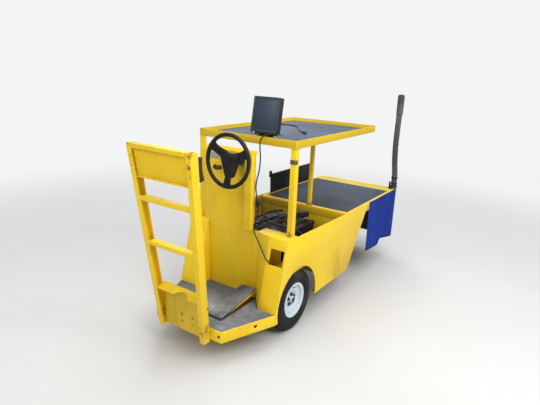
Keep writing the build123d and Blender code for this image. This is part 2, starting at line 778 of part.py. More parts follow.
def battery_cables():
    top = bay_floor_z + battery_height + terminal_height
    x_rear, x_mid_a = battery_rear + terminal_inset, battery_rear + battery_length - terminal_inset
    x_mid_b = battery_rear + battery_length + battery_gap + terminal_inset
    y, z = (battery_width + battery_gap) / 2, top + cable_radius
    # each jumper: start, end
    jumpers = (((x_mid_a, -y), (x_mid_b, -y)), ((x_mid_a, y), (x_mid_b, y)), ((x_rear, -y), (x_rear, y)))
    pieces = []
    for (ax, ay), (bx, by) in jumpers:
        length = hypot(bx - ax, by - ay)
        lift = min(jumper_lift, length / 3)
        ux, uy = (bx - ax) / length, (by - ay) / length
        points = [(ax, ay, z), (ax + ux * length * 0.25, ay + uy * length * 0.25, z + lift * 0.5),
                  (ax + ux * length * 0.5, ay + uy * length * 0.5, z + lift * 0.7),
                  (ax + ux * length * 0.75, ay + uy * length * 0.75, z + lift * 0.5), (bx, by, z)]
        cable = tube(points, cable_radius)
        for x, y_end in ((ax, ay), (bx, by)):
            cable += Pos(x, y_end, top + lug_height / 2) * Cylinder(lug_radius, lug_height)
        pieces.append(cable)
    return pieces + battery_leads()


def battery_leads():
    """The two thick leads of the plug block: one to a terminal, one down beside the batteries."""
    caps = bay_floor_z + battery_height + cap_height
    z, terminal_top = caps + battery_lead + 1.5, bay_floor_z + battery_height + terminal_height
    terminal = (battery_rear + 2 * battery_length + battery_gap - terminal_inset, (battery_width + battery_gap) / 2)
    # each place in battery lengths ahead of the rear, widths to the left and heights over the caps
    to_terminal = ((1.39, 0.18, 0), (1.07, 0.34, 0), (0.67, 0.29, 0), (0.38, 0.365, 0), (0.31, 0.65, 0),
                   (0.535, 0.85, -0.03), (0.99, 0.87, -0.04), (1.49, 0.85, -0.025), (1.765, 0.75, 0))
    to_floor = ((1.38, 0.04, 0), (1.105, -0.03, 0), (0.80, -0.155, 0), (0.67, -0.40, 0), (0.655, -0.66, 0),
                (0.71, -0.93, 0), (0.80, -1.19, -0.04), (0.885, -1.40, -0.17), (0.93, -1.58, -0.40),
                (0.945, -1.66, -0.71))
    foot = (battery_rear + 0.955 * battery_length, -1.685 * battery_width, bay_floor_z + seat_gap)
    reach, turn = connector_length / 2 + connector_width / 2 + connector_clamp + seat_gap, radians(connector_turn)
    pieces = []
    for side, places, last in ((1, to_terminal, (*terminal, z)), (-1, to_floor, foot)):
        start = (connector_x - reach * cos(turn) - side * lead_space * sin(turn),
                 connector_y - reach * sin(turn) + side * lead_space * cos(turn), z)
        middle = [(battery_rear + ahead * battery_length, left * battery_width, z + rise * battery_height)
                  for ahead, left, rise in places]
        pieces.append(tube([start, *middle, last], battery_lead))
    pieces[0] += Pos(*terminal, terminal_top + lead_lug / 2) * Cylinder(lug_radius, lead_lug)
    return pieces


def battery_connector():
    """The round-ended plug block that lies on the front batteries, with the clamp for its two leads."""
    top = bay_floor_z + battery_height + cap_height + seat_gap
    body = Box(connector_length, connector_width, connector_height)
    for end in (-connector_length / 2, connector_length / 2):
        body += Pos(end, 0, 0) * Cylinder(connector_width / 2, connector_height)
    clamp_length = connector_width / 2 + connector_clamp
    body += Pos(-(connector_length + clamp_length) / 2, 0, 0) * Box(
        clamp_length, connector_width, connector_height / 2)
    return Pos(connector_x, connector_y, top + connector_height / 2) * Rot(0, 0, connector_turn) * body


# Drive

def drive_axle():
    """The rear axle: tube, differential housing, saddles under the rails and the stub ends."""
    inner_face = body_half - wheel_inset - tyre_width / 2 - hub_width / 2
    z = tyre_radius
    length = 2 * (inner_face - move_gap)
    body = rod((0, -length / 2, z), (0, 1, 0), axle_tube_radius, length)
    body += Pos(0, 0, z) * Sphere(housing_radius)
    body += rod((0, 0, z), (1, 0, 0), pinion_radius, motor_start)
    for side in (-1, 1):
        y = side * chassis_y
        body += box(-saddle_half, saddle_half, y - chassis_width / 2, y + chassis_width / 2, z,
                    bay_floor_z - sheet - chassis_depth)
        tip = side * (body_half - wheel_inset - tyre_width / 2 + stub_reach)
        body += rod((0, min(0, tip), z), (0, 1, 0), axle_radius, abs(tip))
    return body


def drive_motor():
    end, boss = motor_start + motor_length, 20.0
    body = rod((motor_start, 0, tyre_radius), (1, 0, 0), motor_radius, motor_length)
    body = chamfer(body.edges(), motor_edge)
    body -= rod((end - motor_recess, 0, tyre_radius), (1, 0, 0), motor_radius - motor_recess, motor_recess + 1)
    body += rod((end - motor_recess - 4, 0, tyre_radius), (1, 0, 0), boss, motor_recess - 4)
    return body


# Front fork and steering

def steer_fork():
    """Two legs from the crown to the axle, the stem in the head, and the axle pin."""
    axle_x = steer_x - steer_trail
    half = fork_leg_width / 2
    body = Pos(steer_x, 0, crown_z + crown_thick / 2) * Box(2 * half + 20, 2 * (fork_gap + fork_leg), crown_thick)
    body = fillet(body.edges().filter_by(Axis.Z), 14)
    for side in (-1, 1):
        y0, y1 = sorted((side * fork_gap, side * (fork_gap + fork_leg)))
        leg = across([(steer_x - half, crown_z + 2), (steer_x + half, crown_z + 2),
                      (axle_x + half - 6, tyre_radius), (axle_x - half + 6, tyre_radius)], y0, y1)
        leg += rod((axle_x, y0, tyre_radius), (0, 1, 0), half - 4, fork_leg)
        body += leg
    bed = deck_top - deck_sink - mat_thick - deck_plate
    stem_top = bed - stem_gap
    body += Pos(steer_x, 0, (crown_z + crown_thick + stem_top) / 2) * Cylinder(
        stem_radius, stem_top - crown_z - crown_thick)
    body += Pos(steer_x, 0, crown_z + crown_thick + 4) * Cylinder(head_radius - 6, 8)
    reach = fork_gap + fork_leg + 14
    body += rod((axle_x, -reach, tyre_radius), (0, 1, 0), axle_radius, 2 * reach)
    for side in (-1, 1):
        inner = -(hub_width / 2 + 1) if side < 0 else hub_nose + 1
        y0, y1 = sorted((inner, side * fork_gap))
        body += rod((axle_x, y0, tyre_radius), (0, 1, 0), axle_radius + spacer_wall, y1 - y0)
    return body


def column_z(x):
    """Height of the column's axis, which passes through the middle of the steering wheel."""
    return wheel_z - (x - wheel_plane) * tan(radians(wheel_tilt))


def steering_frame():
    """The plane of the steering wheel, facing the operator."""
    tilt = radians(wheel_tilt)
    return Plane(origin=(wheel_plane, wheel_y, wheel_z), x_dir=(0, -1, 0), z_dir=(-cos(tilt), 0, sin(tilt)))


def steering_wheel():
    """Grip ring, three flared spokes, a broad hub pad that narrows downwards, and the shaft."""
    ring = revolve(Pos(wheel_radius, 0, 0) * Rot(90, 0, 0) * Circle(wheel_grip), Axis.Z)
    # right half of the pad's outline, from the middle of its top edge
    half_pad = [(0, 46), (40, 45), (75, 40), (66, 6), (42, -46), (24, -78)]
    pad_points = half_pad + [(-x, y) for x, y in half_pad[:0:-1]]
    pad_height, pad_taper = 34.0, 0.8
    pad_face = make_face(Polyline(*pad_points, close=True))
    wheel = ring + loft([Pos(0, 0, -hub_dish) * pad_face,
                         Pos(0, 0, -hub_dish + pad_height) * scale(pad_face, pad_taper)], ruled=True)
    reach = wheel_radius - 6
    # each spoke: direction round the wheel, root distance, widths at its root, waist and rim end
    for angle, root, widths in ((90 + 62, 40.0, (60, 46, 64)), (90 - 62, 40.0, (60, 46, 64)), (270, 50.0, (50, 42, 58))):
        # each section: distance along the spoke, height, thickness, width
        sections = ((root, 6 - hub_dish, 12, widths[0]), ((root + reach) / 2, -hub_dish / 2, 11, widths[1]),
                    (reach, -5.0, 9, widths[2]))
        spoke = loft([Pos(at, 0, z) * Rot(0, 90, 0) * Rectangle(thick, width)
                      for at, z, thick, width in sections], ruled=True)
        wheel += Rot(0, 0, angle) * spoke
    wheel += Pos(0, 0, 1 - hub_dish - shaft_length / 2) * Cylinder(shaft_radius, shaft_length)
    return steering_frame() * wheel


def steering_column():
    """The tube and flange on the dash, and the gearbox with its down tube behind it."""
    middle = Pos(0, 0, -hub_dish - column_start - column_length / 2)
    column = steering_frame() * (middle * Cylinder(column_radius, column_length))
    bore = steering_frame() * (middle * Cylinder(shaft_radius + run_gap, column_length + 2))
    z, flange_thick = column_z(dash_x), 8.0
    flange = rod((dash_x - flange_thick, wheel_y, z), (1, 0, 0), column_flange, flange_thick)
    x0 = dash_x + sheet
    case = box(x0, x0 + gearbox_depth, wheel_y - gearbox_half, wheel_y + gearbox_half,
               z - gearbox_low, z + gearbox_high)
    case = fillet(case.edges().filter_by(Axis.X), gearbox_half / 3)
    down = rod((x0 + gearbox_depth / 2 + 1, wheel_y, bay_floor_z), (0, 0, 1), down_tube,
               z - gearbox_low + 2 - bay_floor_z)
    return column + flange + case - bore + down


def key_switch():
    """The lock on the dash with its key turned upright."""
    collar, barrel, key = 12.0, 26.0, 46.0      # how far each stands off the dash
    body = rod((dash_x - collar, key_y, key_z), (1, 0, 0), 15.0, collar)
    body += rod((dash_x - barrel, key_y, key_z), (1, 0, 0), 9.0, barrel - collar)
    body += box(dash_x - key, dash_x - barrel + 2, key_y - 3.5, key_y + 3.5, key_z - 12, key_z + 12)
    return body


# Things fixed to the tray and the deck

def display_frame():
    base = tray_top - tray_sink + display_rise
    return Pos(display_x, display_y, base) * Rot(0, display_lean, 0)


def display_box():
    """A flat box that leans back on its cradle."""
    case = Pos(display_thick / 2, 0, display_height / 2) * Box(display_thick, display_width, display_height)
    case = fillet(case.edges(), 6)
    return display_frame() * case


def display_cradle():
    """A shallow cradle under the box, on a foot that sits on the tray, with the gland of its lead."""
    base, plate, shelf_height = tray_top - tray_sink, 6.0, 10.0
    foot = box(display_x - 14, display_x + 66, display_y - 70, display_y + 70, base, base + plate)
    neck = box(display_x + 8, display_x + 44, display_y - 52, display_y + 40, base + plate,
               base + display_rise - shelf_height - 2)
    shelf = Pos(display_thick / 2, 0, -shelf_height / 2 - seat_gap) * Box(display_thick + 6, 150, shelf_height)
    x, y, z = power_route[0]
    gland = rod((x + cord_gap, y, z), (1, 0, 0), 2 * lead_radius, display_x + 20 - x)
    return foot + neck + display_frame() * shelf + gland


# each bend of the pole: shift towards the centre, rise above the deck
pole_bends = ((0.0, socket_plate + socket_cup + seat_gap), (0.0, 120.0), (17.0, 260.0), (25.0, 410.0),
              (24.0, 560.0), (22.0, 690.0))
pole_points = [(deck_front - pole_inset_x, shift - body_half + pole_inset_y, deck_top + rise)
               for shift, rise in pole_bends]


def corner_pole():
    """A padded post that kinks above its socket, with a wider sleeve at its top."""
    x, y, z = pole_points[-1]
    sleeve_above = 147.0
    sleeve = rod((x, y, z + sleeve_above - sleeve_length), (0, 0, 1), sleeve_radius, sleeve_length)
    return tube(pole_points, pole_radius) + sleeve


def pole_bracket():
    """The socket at the deck's corner."""
    x, y, _ = pole_points[0]
    plate = box(x - 30, x + 20, y - 18, y + 34, deck_top, deck_top + socket_plate)
    cup = rod((x, y, deck_top + socket_plate), (0, 0, 1), socket_radius, socket_cup)
    lug = box(x - 42, x - 32, y - 10, y + 10, deck_top, deck_top + 40)
    lug += box(x - 42, x - 25, y - 10, y + 10, deck_top, deck_top + 20)
    return plate + cup + lug


def blue_cloth():
    """A cloth that hangs from the right rail in soft folds, with an uneven lower edge."""
    rail_y = -(body_half - sheet) - seat_gap
    steps = 60
    near, far = [], []
    for i in range(steps + 1):
        x = cloth_rear + (deck_front - cloth_rear) * i / steps
        wave = fold_depth * (1 - cos(2 * pi * cloth_folds * i / steps)) / 2
        near.append((x, rail_y - wave))
        far.append((x, rail_y - wave - cloth_thick))
    # the lower edge: share of the cloth's length ahead of its rear edge, share of the deck's height
    shares = ((0.054, 0.331), (0.435, 0.297), (0.525, 0.369), (1.0, 0.275))
    hem = [(cloth_rear + (deck_front - cloth_rear) * along, deck_top * up) for along, up in shares]
    curtain = plan(near + far[::-1], hem[-1][1] - 16, deck_top)
    outline = [*hem, (deck_front, deck_top + 1), (cloth_rear, deck_top + 1)]
    return curtain & across(outline, rail_y - 2 * (fold_depth + cloth_thick), rail_y + 10)


# Free cords: each route is a list of places chosen along the real cord's run

mat_level = tray_top - tray_sink
lead_radius = 4.0
lead_z = mat_level + lead_radius + seat_gap
lead_route = ((1.5, -60, mat_level + 80), (30, -48, mat_level + 76), (58, -20, mat_level + 54),
              (86, 20, mat_level + 22), (128, 72, lead_z),
              (214, 150, lead_z), (330, 228, lead_z), (454, 290, lead_z), (576, 322, lead_z),
              (672, 306, lead_z), (724, 240, lead_z), (730, 160, lead_z), (690, 88, lead_z),
              (610, 36, lead_z), (530, -18, lead_z), (462, -74, lead_z), (412, -130, lead_z))

# the hanging lead, from the gland on the cradle to the in-line connector: x, y, share of its drop
power_head = mat_level + display_rise - 12.0
power_foot = port_low + 378.0
power_route = tuple((x, y, power_foot + (power_head - power_foot) * share) for x, y, share in (
    (display_x - 14, display_y - 41, 1), (-94, -150, 1.003), (-114, -146, 0.974), (-127, -142, 0.907),
    (-130, -146, 0.804), (-130, -152, 0.696), (-131, -152, 0.557), (-131, -144, 0.418), (-132, -128, 0.276),
    (-132, -126, 0.134), (-132, -138, 0)))
drop_route = ((-132, -147, 822), (-134, -149, 780), (-137, -133, 735), (-141, -125, 692),
              (-152, -144, 652), (-170, -190, 612), (-188, -234, 566), (-202, -268, 530),
              (-194, -291, 514), (-174, -303, 502), (-158, -313, 482), (-152, -319, 458), (-152, -320, 446))


def display_lead():
    return tube(lead_route, lead_radius)


def display_plug():
    """The plug at the end of the display's lead, lying on the mat."""
    (x0, y0, _), (x, y, z) = lead_route[-2], lead_route[-1]
    along = Vector(x - x0, y - y0, 0).normalized()
    length, width, height = 44.0, 22.0, 16.0
    lift = height / 2 - lead_radius
    return Plane(origin=(x, y, z), x_dir=along, z_dir=(0, 0, 1)) * Pos(length / 2 + cord_gap, 0, lift) * Box(
        length, width, height)


def power_lead():
    return tube(power_route, lead_radius)


def power_drop():
    return tube(drop_route, lead_radius)


def lead_connector():
    """The in-line connector between the two lengths of the hanging lead."""
    top, low = Vector(*power_route[-1]), Vector(*drop_route[0])
    along = (top - low).normalized()
    length = (top - low).length - 2 * cord_gap
    return rod(low + along * cord_gap, along, 13.0, length)


def build():
    wheel_mid = body_half - wheel_inset - tyre_width / 2
    return {
        "platform_frame": platform_frame(),
        "platform_mat": platform_mat(),
        "foot_pedal": foot_pedal(),
        "ladder_uprights": ladder_uprights(),
        "ladder_header": ladder_header(),
        "ladder_rungs": ladder_rungs(),
        "kick_panel": kick_panel(),
        "back_pad": back_pad(),
        "side_panel_left": side_panel(1),
        "side_panel_right": side_panel(-1),
        "shoulder_left": shoulder(1, left_inner, dash_low_left),
        "shoulder_right": shoulder(-1, right_inner, -dash_low_right),
        "bay_floor": bay_floor(),
        "chassis_rails": chassis_rails(),
        "dash_panel": dash_panel(),
        "tray_pan": tray_pan(),
        "tray_mat": tray_mat_piece(),
        "tray_posts": tray_posts(),
        "deck_frame": deck_frame(),
        "deck_mat": deck_mat(),
        "front_apron": front_apron(),
        "side_board": side_board(),
        "battery_pack": battery_pack(),
        "battery_cables": battery_cables(),
        "battery_connector": battery_connector(),
        "drive_axle": drive_axle(),
        "drive_motor": drive_motor(),
        "steer_fork": steer_fork(),
        "front_tyre": tyre(steer_x - steer_trail, 0),
        "front_rim": rim(steer_x - steer_trail, 0, 1),
        "rear_tyre_left": tyre(0, wheel_mid),
        "rear_rim_left": rim(0, wheel_mid, 1),
        "rear_tyre_right": tyre(0, -wheel_mid),
        "rear_rim_right": rim(0, -wheel_mid, -1),
        "steering_wheel": steering_wheel(),
        "steering_column": steering_column(),
        "key_switch": key_switch(),
        "display_box": display_box(),
        "display_cradle": display_cradle(),
        "corner_pole": corner_pole(),
        "pole_bracket": pole_bracket(),
        "blue_cloth": blue_cloth(),
        "display_lead": display_lead(),
        "display_plug": display_plug(),
        "power_lead": power_lead(),
        "lead_connector": lead_connector(),
        "power_drop": power_drop(),
    }


def write_parts():
    os.makedirs("parts", exist_ok=True)
    nodes = {}
    for name, shape in build().items():
        solids = [s for piece in (shape if isinstance(shape, list) else [shape]) for s in piece.solids()]
        nodes[name] = solids
    low = [min(tuple(s.bounding_box().min)[i] for n in nodes.values() for s in n) for i in range(3)]
    high = [max(tuple(s.bounding_box().max)[i] for n in nodes.values() for s in n) for i in range(3)]
    print("outline", [round(v, 2) for v in low], [round(v, 2) for v in high])
    for name, route in (("display lead", lead_route), ("power lead", power_route), ("power drop", drop_route)):
        print(name, "arc radii", [round(radius) for radius in run_radii(route)])
    shift = Pos(-(low[0] + high[0]) / 2, -(low[1] + high[1]) / 2, 0)
    for name, solids in nodes.items():
        moved = [shift * s for s in solids]
        export_step(moved[0] if len(moved) == 1 else Compound(children=moved), f"parts/{name}.step")


write_parts()
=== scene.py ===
import math
import random

import bmesh
import bpy
from mathutils import Matrix, Vector
from mathutils.noise import noise as noiseAt


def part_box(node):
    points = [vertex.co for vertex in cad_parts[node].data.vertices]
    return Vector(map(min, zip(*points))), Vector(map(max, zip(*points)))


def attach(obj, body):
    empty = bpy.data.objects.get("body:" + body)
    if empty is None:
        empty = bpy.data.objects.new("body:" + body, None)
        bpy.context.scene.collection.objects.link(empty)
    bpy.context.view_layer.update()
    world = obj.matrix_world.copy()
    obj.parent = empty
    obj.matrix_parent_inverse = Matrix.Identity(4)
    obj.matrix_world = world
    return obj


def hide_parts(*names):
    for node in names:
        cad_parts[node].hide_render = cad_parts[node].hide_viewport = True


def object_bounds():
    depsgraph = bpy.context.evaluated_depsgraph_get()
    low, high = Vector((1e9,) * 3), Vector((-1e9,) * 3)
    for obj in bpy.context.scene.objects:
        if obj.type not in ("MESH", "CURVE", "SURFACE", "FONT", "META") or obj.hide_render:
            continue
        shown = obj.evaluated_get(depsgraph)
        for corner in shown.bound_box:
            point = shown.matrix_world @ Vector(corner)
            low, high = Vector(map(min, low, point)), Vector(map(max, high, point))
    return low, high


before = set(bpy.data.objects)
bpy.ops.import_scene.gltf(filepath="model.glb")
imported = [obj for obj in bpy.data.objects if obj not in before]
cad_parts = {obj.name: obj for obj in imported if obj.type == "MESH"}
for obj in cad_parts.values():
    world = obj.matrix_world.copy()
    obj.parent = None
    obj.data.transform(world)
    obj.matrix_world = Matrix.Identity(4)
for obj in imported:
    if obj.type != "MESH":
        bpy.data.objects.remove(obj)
cadLow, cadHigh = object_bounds()
print("frame loaded,", len(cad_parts), "solids")


# Places are measured from the drive axle, on the centre plane, with the floor at 0
def boxMiddle(node):
    low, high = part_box(node)
    return (low + high) / 2


leftWheel, rightWheel = boxMiddle("rear_tyre_left"), boxMiddle("rear_tyre_right")
axle = Vector((leftWheel.x, (leftWheel.y + rightWheel.y) / 2, leftWheel.z))


def at(x, y, z):
    return Vector((axle.x + x, axle.y + y, z))


# Places that several pieces share
deckLevel, wheelLevel = 0.640, 0.208
poleFoot = at(1.699, -0.369, deckLevel)
# the ladder leans back and spreads outwards, so much for each metre of height
ladder = {"rear": -0.6583, "rearAt": 0.150, "lean": 149.0 / 1091.0,
          "half": 0.178, "halfAt": 0.134, "spread": 51.0 / 1091.0}


def ladderX(z):
    return ladder["rear"] - (z - ladder["rearAt"]) * ladder["lean"]


def ladderHalf(z):
    return ladder["half"] + (z - ladder["halfAt"]) * ladder["spread"]


# Shader helpers
class Wire:
    def __init__(self, finish, socket):
        self.finish, self.socket = finish, socket

    def math(self, operation, first, second):
        return self.finish.node("ShaderNodeMath", {"operation": operation}, {0: first, 1: second})

    def __add__(self, other):
        return self.math("ADD", self, other)

    def __sub__(self, other):
        return self.math("SUBTRACT", self, other)

    def __rsub__(self, other):
        return self.math("SUBTRACT", other, self)

    def __mul__(self, other):
        return self.math("MULTIPLY", self, other)

    __radd__, __rmul__ = __add__, __mul__

    def size(self):
        return self.math("ABSOLUTE", self, 0.0)

    def clamped(self):
        return self.finish.node("ShaderNodeClamp", {}, {"Value": self})

    def between(self, low, high):
        # 0 below low, 1 above high, smooth in between
        return self.finish.node("ShaderNodeMapRange", {"interpolation_type": "SMOOTHSTEP"},
                                {"Value": self, "From Min": low, "From Max": high})


class Finish:
    def __init__(self, name, **fixed):
        self.material = bpy.data.materials.new(name)
        self.material.use_nodes = True
        self.tree = self.material.node_tree
        self.shader = self.tree.nodes["Principled BSDF"]
        self.place = self.node("ShaderNodeTexCoord", {}, {}, "Object")
        for socket, value in fixed.items():
            self.shader.inputs[socket.replace("_", " ")].default_value = value

    def node(self, kind, settings, sockets, out=0):
        made = self.tree.nodes.new(kind)
        for key, value in settings.items():
            setattr(made, key, value)
        for key, value in sockets.items():
            self.feed(made.inputs[key], value)
        return Wire(self, made.outputs[out])

    def feed(self, socket, value):
        if isinstance(value, Wire):
            self.tree.links.new(value.socket, socket)
        else:
            socket.default_value = value

    def stretched(self, x, y, z):
        return self.node("ShaderNodeMapping", {}, {"Vector": self.place, "Scale": (x, y, z)})

    def noise(self, scale, detail=3.0, rough=0.5, place=None, warp=0.0):
        return self.node("ShaderNodeTexNoise", {}, {"Vector": place or self.place, "Scale": scale,
                                                    "Detail": detail, "Roughness": rough, "Distortion": warp})

    def cells(self, scale):
        return self.node("ShaderNodeTexVoronoi", {}, {"Vector": self.place, "Scale": scale}, "Distance")

    def along(self, axis):
        return self.node("ShaderNodeSeparateXYZ", {}, {"Vector": self.place}, axis)

    def near(self, spot, radius):
        # 1 at the spot, 0 beyond the radius
        away = self.node("ShaderNodeVectorMath", {"operation": "DISTANCE"}, {0: self.place, 1: tuple(spot)},
                         "Value")
        return 1.0 - away.between(radius * 0.35, radius)

    def within(self, axis, middle, half):
        # 1 up to half away from the middle along an axis, with a soft rim 6 mm wide
        return 1.0 - (self.along(axis) - middle).size().between(half - 0.006, half)

    def edges(self, radius):
        # 0 on flat faces, towards 1 where the surface turns sharply within the radius
        rounded = self.node("ShaderNodeBevel", {"samples": 6}, {"Radius": radius})
        flat = self.node("ShaderNodeNewGeometry", {}, {}, "Normal")
        turn = self.node("ShaderNodeVectorMath", {"operation": "DOT_PRODUCT"}, {0: rounded, 1: flat}, "Value")
        return (1.0 - turn).between(0.02, 0.16)

    def blend(self, share, first, second):
        def colour(value):
            return value if isinstance(value, Wire) else (*value, 1.0)
        return self.node("ShaderNodeMix", {"data_type": "RGBA"},
                         {0: share, 6: colour(first), 7: colour(second)}, 2)

    def bump(self, height, strength, distance):
        return self.node("ShaderNodeBump", {}, {"Height": height, "Strength": strength, "Distance": distance},
                         "Normal")

    def surface(self, colour=None, rough=None, normal=None, metal=None):
        for socket, value in (("Base Color", colour), ("Roughness", rough), ("Normal", normal),
                              ("Metallic", metal)):
            if value is not None:
                self.feed(self.shader.inputs[socket], value)
        return self.material


# Finishes
def makeYellowPaint(name="yellowPaint", shade=1.0, soilAndShade=0.0):
    paint = {"bright": (0.90, 0.625, 0.018), "deep": (0.84, 0.545, 0.010), "grime": (0.22, 0.15, 0.03),
             "primer": (0.22, 0.18, 0.10), "rust": (0.16, 0.055, 0.018), "chalk": (0.92, 0.70, 0.10),
             "rim": (0.95, 0.80, 0.30)}
    # shade darkens every colour and soil lays on more grime: painted shade for the darker copies of the paint
    paint = {key: tuple(c * shade for c in colour) for key, colour in paint.items()}
    # rusted joints: place and reach
    rusted = [(at(-0.640, -0.182, 0.215), 0.060), (at(ladderX(1.184), -0.206, 1.184), 0.020),
              (at(0.693, -0.055, 0.655), 0.034), (at(-0.082, -0.352, 0.678), 0.030),
              (at(-0.085, 0.365, 1.285), 0.060), (at(1.060, -0.372, 1.276), 0.040),
              (at(-0.640, 0.182, 0.215), 0.045),
              (at(ladderX(1.245), -0.214, 1.250), 0.030), (at(ladderX(1.245), 0.214, 1.250), 0.026)]
    # and round the four hitch holes
    rusted += [(at(-0.640, y, z), 0.013) for y in (0.008, -0.074) for z in (0.260, 0.214)]
    f = Finish(name, Coat_Weight=0.06, Coat_Roughness=0.25, Specular_IOR_Level=0.26)
    cloud = f.noise(2.1, 4.0, 0.6)
    smear = f.noise(7.0, 6.0, 0.62, f.stretched(1.0, 1.0, 0.35), 0.4)
    fine = f.noise(140.0, 4.0, 0.7)
    scratch = f.noise(9.0, 3.0, 0.6, f.stretched(1.4, 1.4, 22.0), 0.3)
    scratchAcross = f.noise(11.0, 3.0, 0.6, f.stretched(3.0, 30.0, 1.2), 0.5)
    colour = f.blend(cloud.between(0.35, 0.7), paint["bright"], paint["deep"])
    colour = f.blend(smear.between(0.62, 0.80) * 0.35, colour, paint["chalk"])
    low = 1.0 - f.along("Z").between(0.10, 0.50)
    # painted shade: the inner faces of the battery bay and the back of the deck frame are darker, more so
    # towards the left
    across = (f.along("Y") - axle.y).size()
    inner = ((1.0 - across.between(0.3893, 0.3915)) * (1.0 - f.along("Z").between(0.615, 0.640))
             * f.along("X").between(axle.x + 0.02, axle.x + 0.06))
    dirtAndShade = ((smear.between(0.50, 0.78) * (0.09 + low * 0.45)) + fine.between(0.64, 0.74) * 0.10
            + inner * (0.30 + f.along("Y").between(axle.y - 0.05, axle.y + 0.30) * 0.40) + soilAndShade).clamped()
    colour = f.blend(dirtAndShade, colour, paint["grime"])
    # painted shadow: the floor in the pit under the pedal is painted near black
    pit = (f.within("X", axle.x - 0.328, 0.186) * f.within("Y", axle.y - 0.114, 0.072)
           * (1.0 - f.along("Z").between(0.2165, 0.2185)))
    colour = f.blend(pit * 0.93, colour, (0.022, 0.019, 0.014))
    scuffs = scratch.between(0.690, 0.735) + scratchAcross.between(0.715, 0.750)
    colour = f.blend((scuffs * (0.12 + low * 0.4)).clamped(), colour, paint["primer"])
    edge = f.edges(0.006)
    # painted highlight: the paint turns pale (rim colour) along sharp edges, together with pale edge wear
    colour = f.blend(edge * 0.40, colour, paint["rim"])
    chips = (edge * f.noise(36.0, 5.0, 0.72).between(0.50, 0.60)).clamped()
    stain = (sum(f.near(*spot) for spot in rusted) * f.noise(34.0, 6.0, 0.70).between(0.40, 0.60)).clamped()
    specks = f.noise(58.0, 4.0, 0.8).between(0.715, 0.745)
    worn = (chips * 0.85 + specks * 0.75).clamped()
    bare = f.blend(f.noise(90.0, 3.0).between(0.42, 0.6), paint["primer"], paint["rust"])
    colour = f.blend(worn, colour, bare)
    colour = f.blend(stain * 0.80, colour, (0.23, 0.095, 0.020))
    rough = 0.40 + cloud * 0.10 + dirtAndShade * 0.30 + worn * 0.35
    skin = f.noise(330.0, 2.0, 0.5) * 0.25 + f.noise(5.0, 3.0) * 2.2 - worn * 0.8
    return f.surface(colour, rough, f.bump(skin, 0.22, 0.0012))


def makeRubberMat(name, base, dust, dustAmount, shaded=0.0):
    f = Finish(name, Specular_IOR_Level=0.22)
    cloud = f.noise(3.2, 5.0, 0.65)
    fine = f.noise(210.0, 3.0, 0.7)
    scuff = f.noise(8.0, 4.0, 0.7, f.stretched(1.0, 9.0, 1.0), 0.6)
    dusty = (cloud.between(0.40, 0.72) * dustAmount + fine.between(0.55, 0.75) * 0.15
             + scuff.between(0.63, 0.72) * 0.35).clamped()
    colour = f.blend(dusty, base, dust)
    colour = f.blend(f.noise(17.0, 4.0, 0.7).between(0.66, 0.74) * 0.5, colour, (0.03, 0.03, 0.032))
    darker = f.noise(1.7, 3.0, 0.6).between(0.44, 0.60) * 0.45
    colour = f.blend(darker, colour, tuple(c * 0.45 for c in base))
    # painted shade: where feet tread, the mat darkens towards the dash and the left side
    if shaded:  # what feet tread on is darker towards the dash and the left
        corner = (f.along("X").between(axle.x - 0.50, axle.x - 0.19)
                  * f.along("Y").between(axle.y - 0.26, axle.y - 0.06))
        colour = f.blend(corner * shaded, colour, tuple(c * 0.55 for c in base))
    return f.surface(colour, 0.62 + dusty * 0.25, f.bump(fine + cloud, 0.25, 0.0006))


def makeTyreRubber():
    f = Finish("tyreRubber", Specular_IOR_Level=0.25)
    cloud = f.noise(9.0, 5.0, 0.65)
    fine = f.noise(260.0, 3.0, 0.7)
    dust = (cloud.between(0.45, 0.78) * 0.5 + fine.between(0.5, 0.8) * 0.18).clamped()
    colour = f.blend(dust, (0.014, 0.014, 0.015), (0.075, 0.072, 0.066))
    return f.surface(colour, 0.78 + dust * 0.12, f.bump(fine + cloud * 0.5, 0.2, 0.0005))


def makeWheelPaint():
    f = Finish("wheelWhite", Coat_Weight=0.2, Coat_Roughness=0.2)
    cloud, fine = f.noise(22.0, 5.0, 0.65), f.noise(120.0, 4.0, 0.75)
    edge = f.edges(0.005)
    brake = f.noise(14.0, 4.0, 0.6)
    # painted shade and sky reflection: the white paint is darkened and tinted blue, and noise blends in a
    # darker shade colour
    colour = f.blend(cloud.between(0.45, 0.75) * 0.45, (0.62, 0.70, 0.76), (0.42, 0.45, 0.46))
    colour = f.blend((brake.between(0.60, 0.72) * 0.45).clamped(), colour, (0.26, 0.20, 0.13))
    chips = (edge * fine.between(0.52, 0.60) + f.noise(70.0, 4.0, 0.8).between(0.70, 0.73)).clamped()
    colour = f.blend(chips * 0.8, colour, (0.13, 0.07, 0.04))
    return f.surface(colour, 0.34 + cloud * 0.15 + chips * 0.3, f.bump(fine * 0.4 - chips, 0.2, 0.0006))


def makeDarkSteel(name, base, dust):
    f = Finish(name)
    cloud, fine = f.noise(10.0, 5.0, 0.65), f.noise(170.0, 4.0, 0.75)
    edge = f.edges(0.004)
    specks = f.noise(60.0, 4.0, 0.8).between(0.70, 0.74)
    worn = (edge * fine.between(0.5, 0.6) * 0.8 + specks * 0.6).clamped()
    colour = f.blend(cloud.between(0.42, 0.75) * 0.6, base, dust)
    colour = f.blend(worn, colour, (0.13, 0.065, 0.035))
    return f.surface(colour, 0.42 + cloud * 0.25, f.bump(fine + cloud, 0.25, 0.0006))


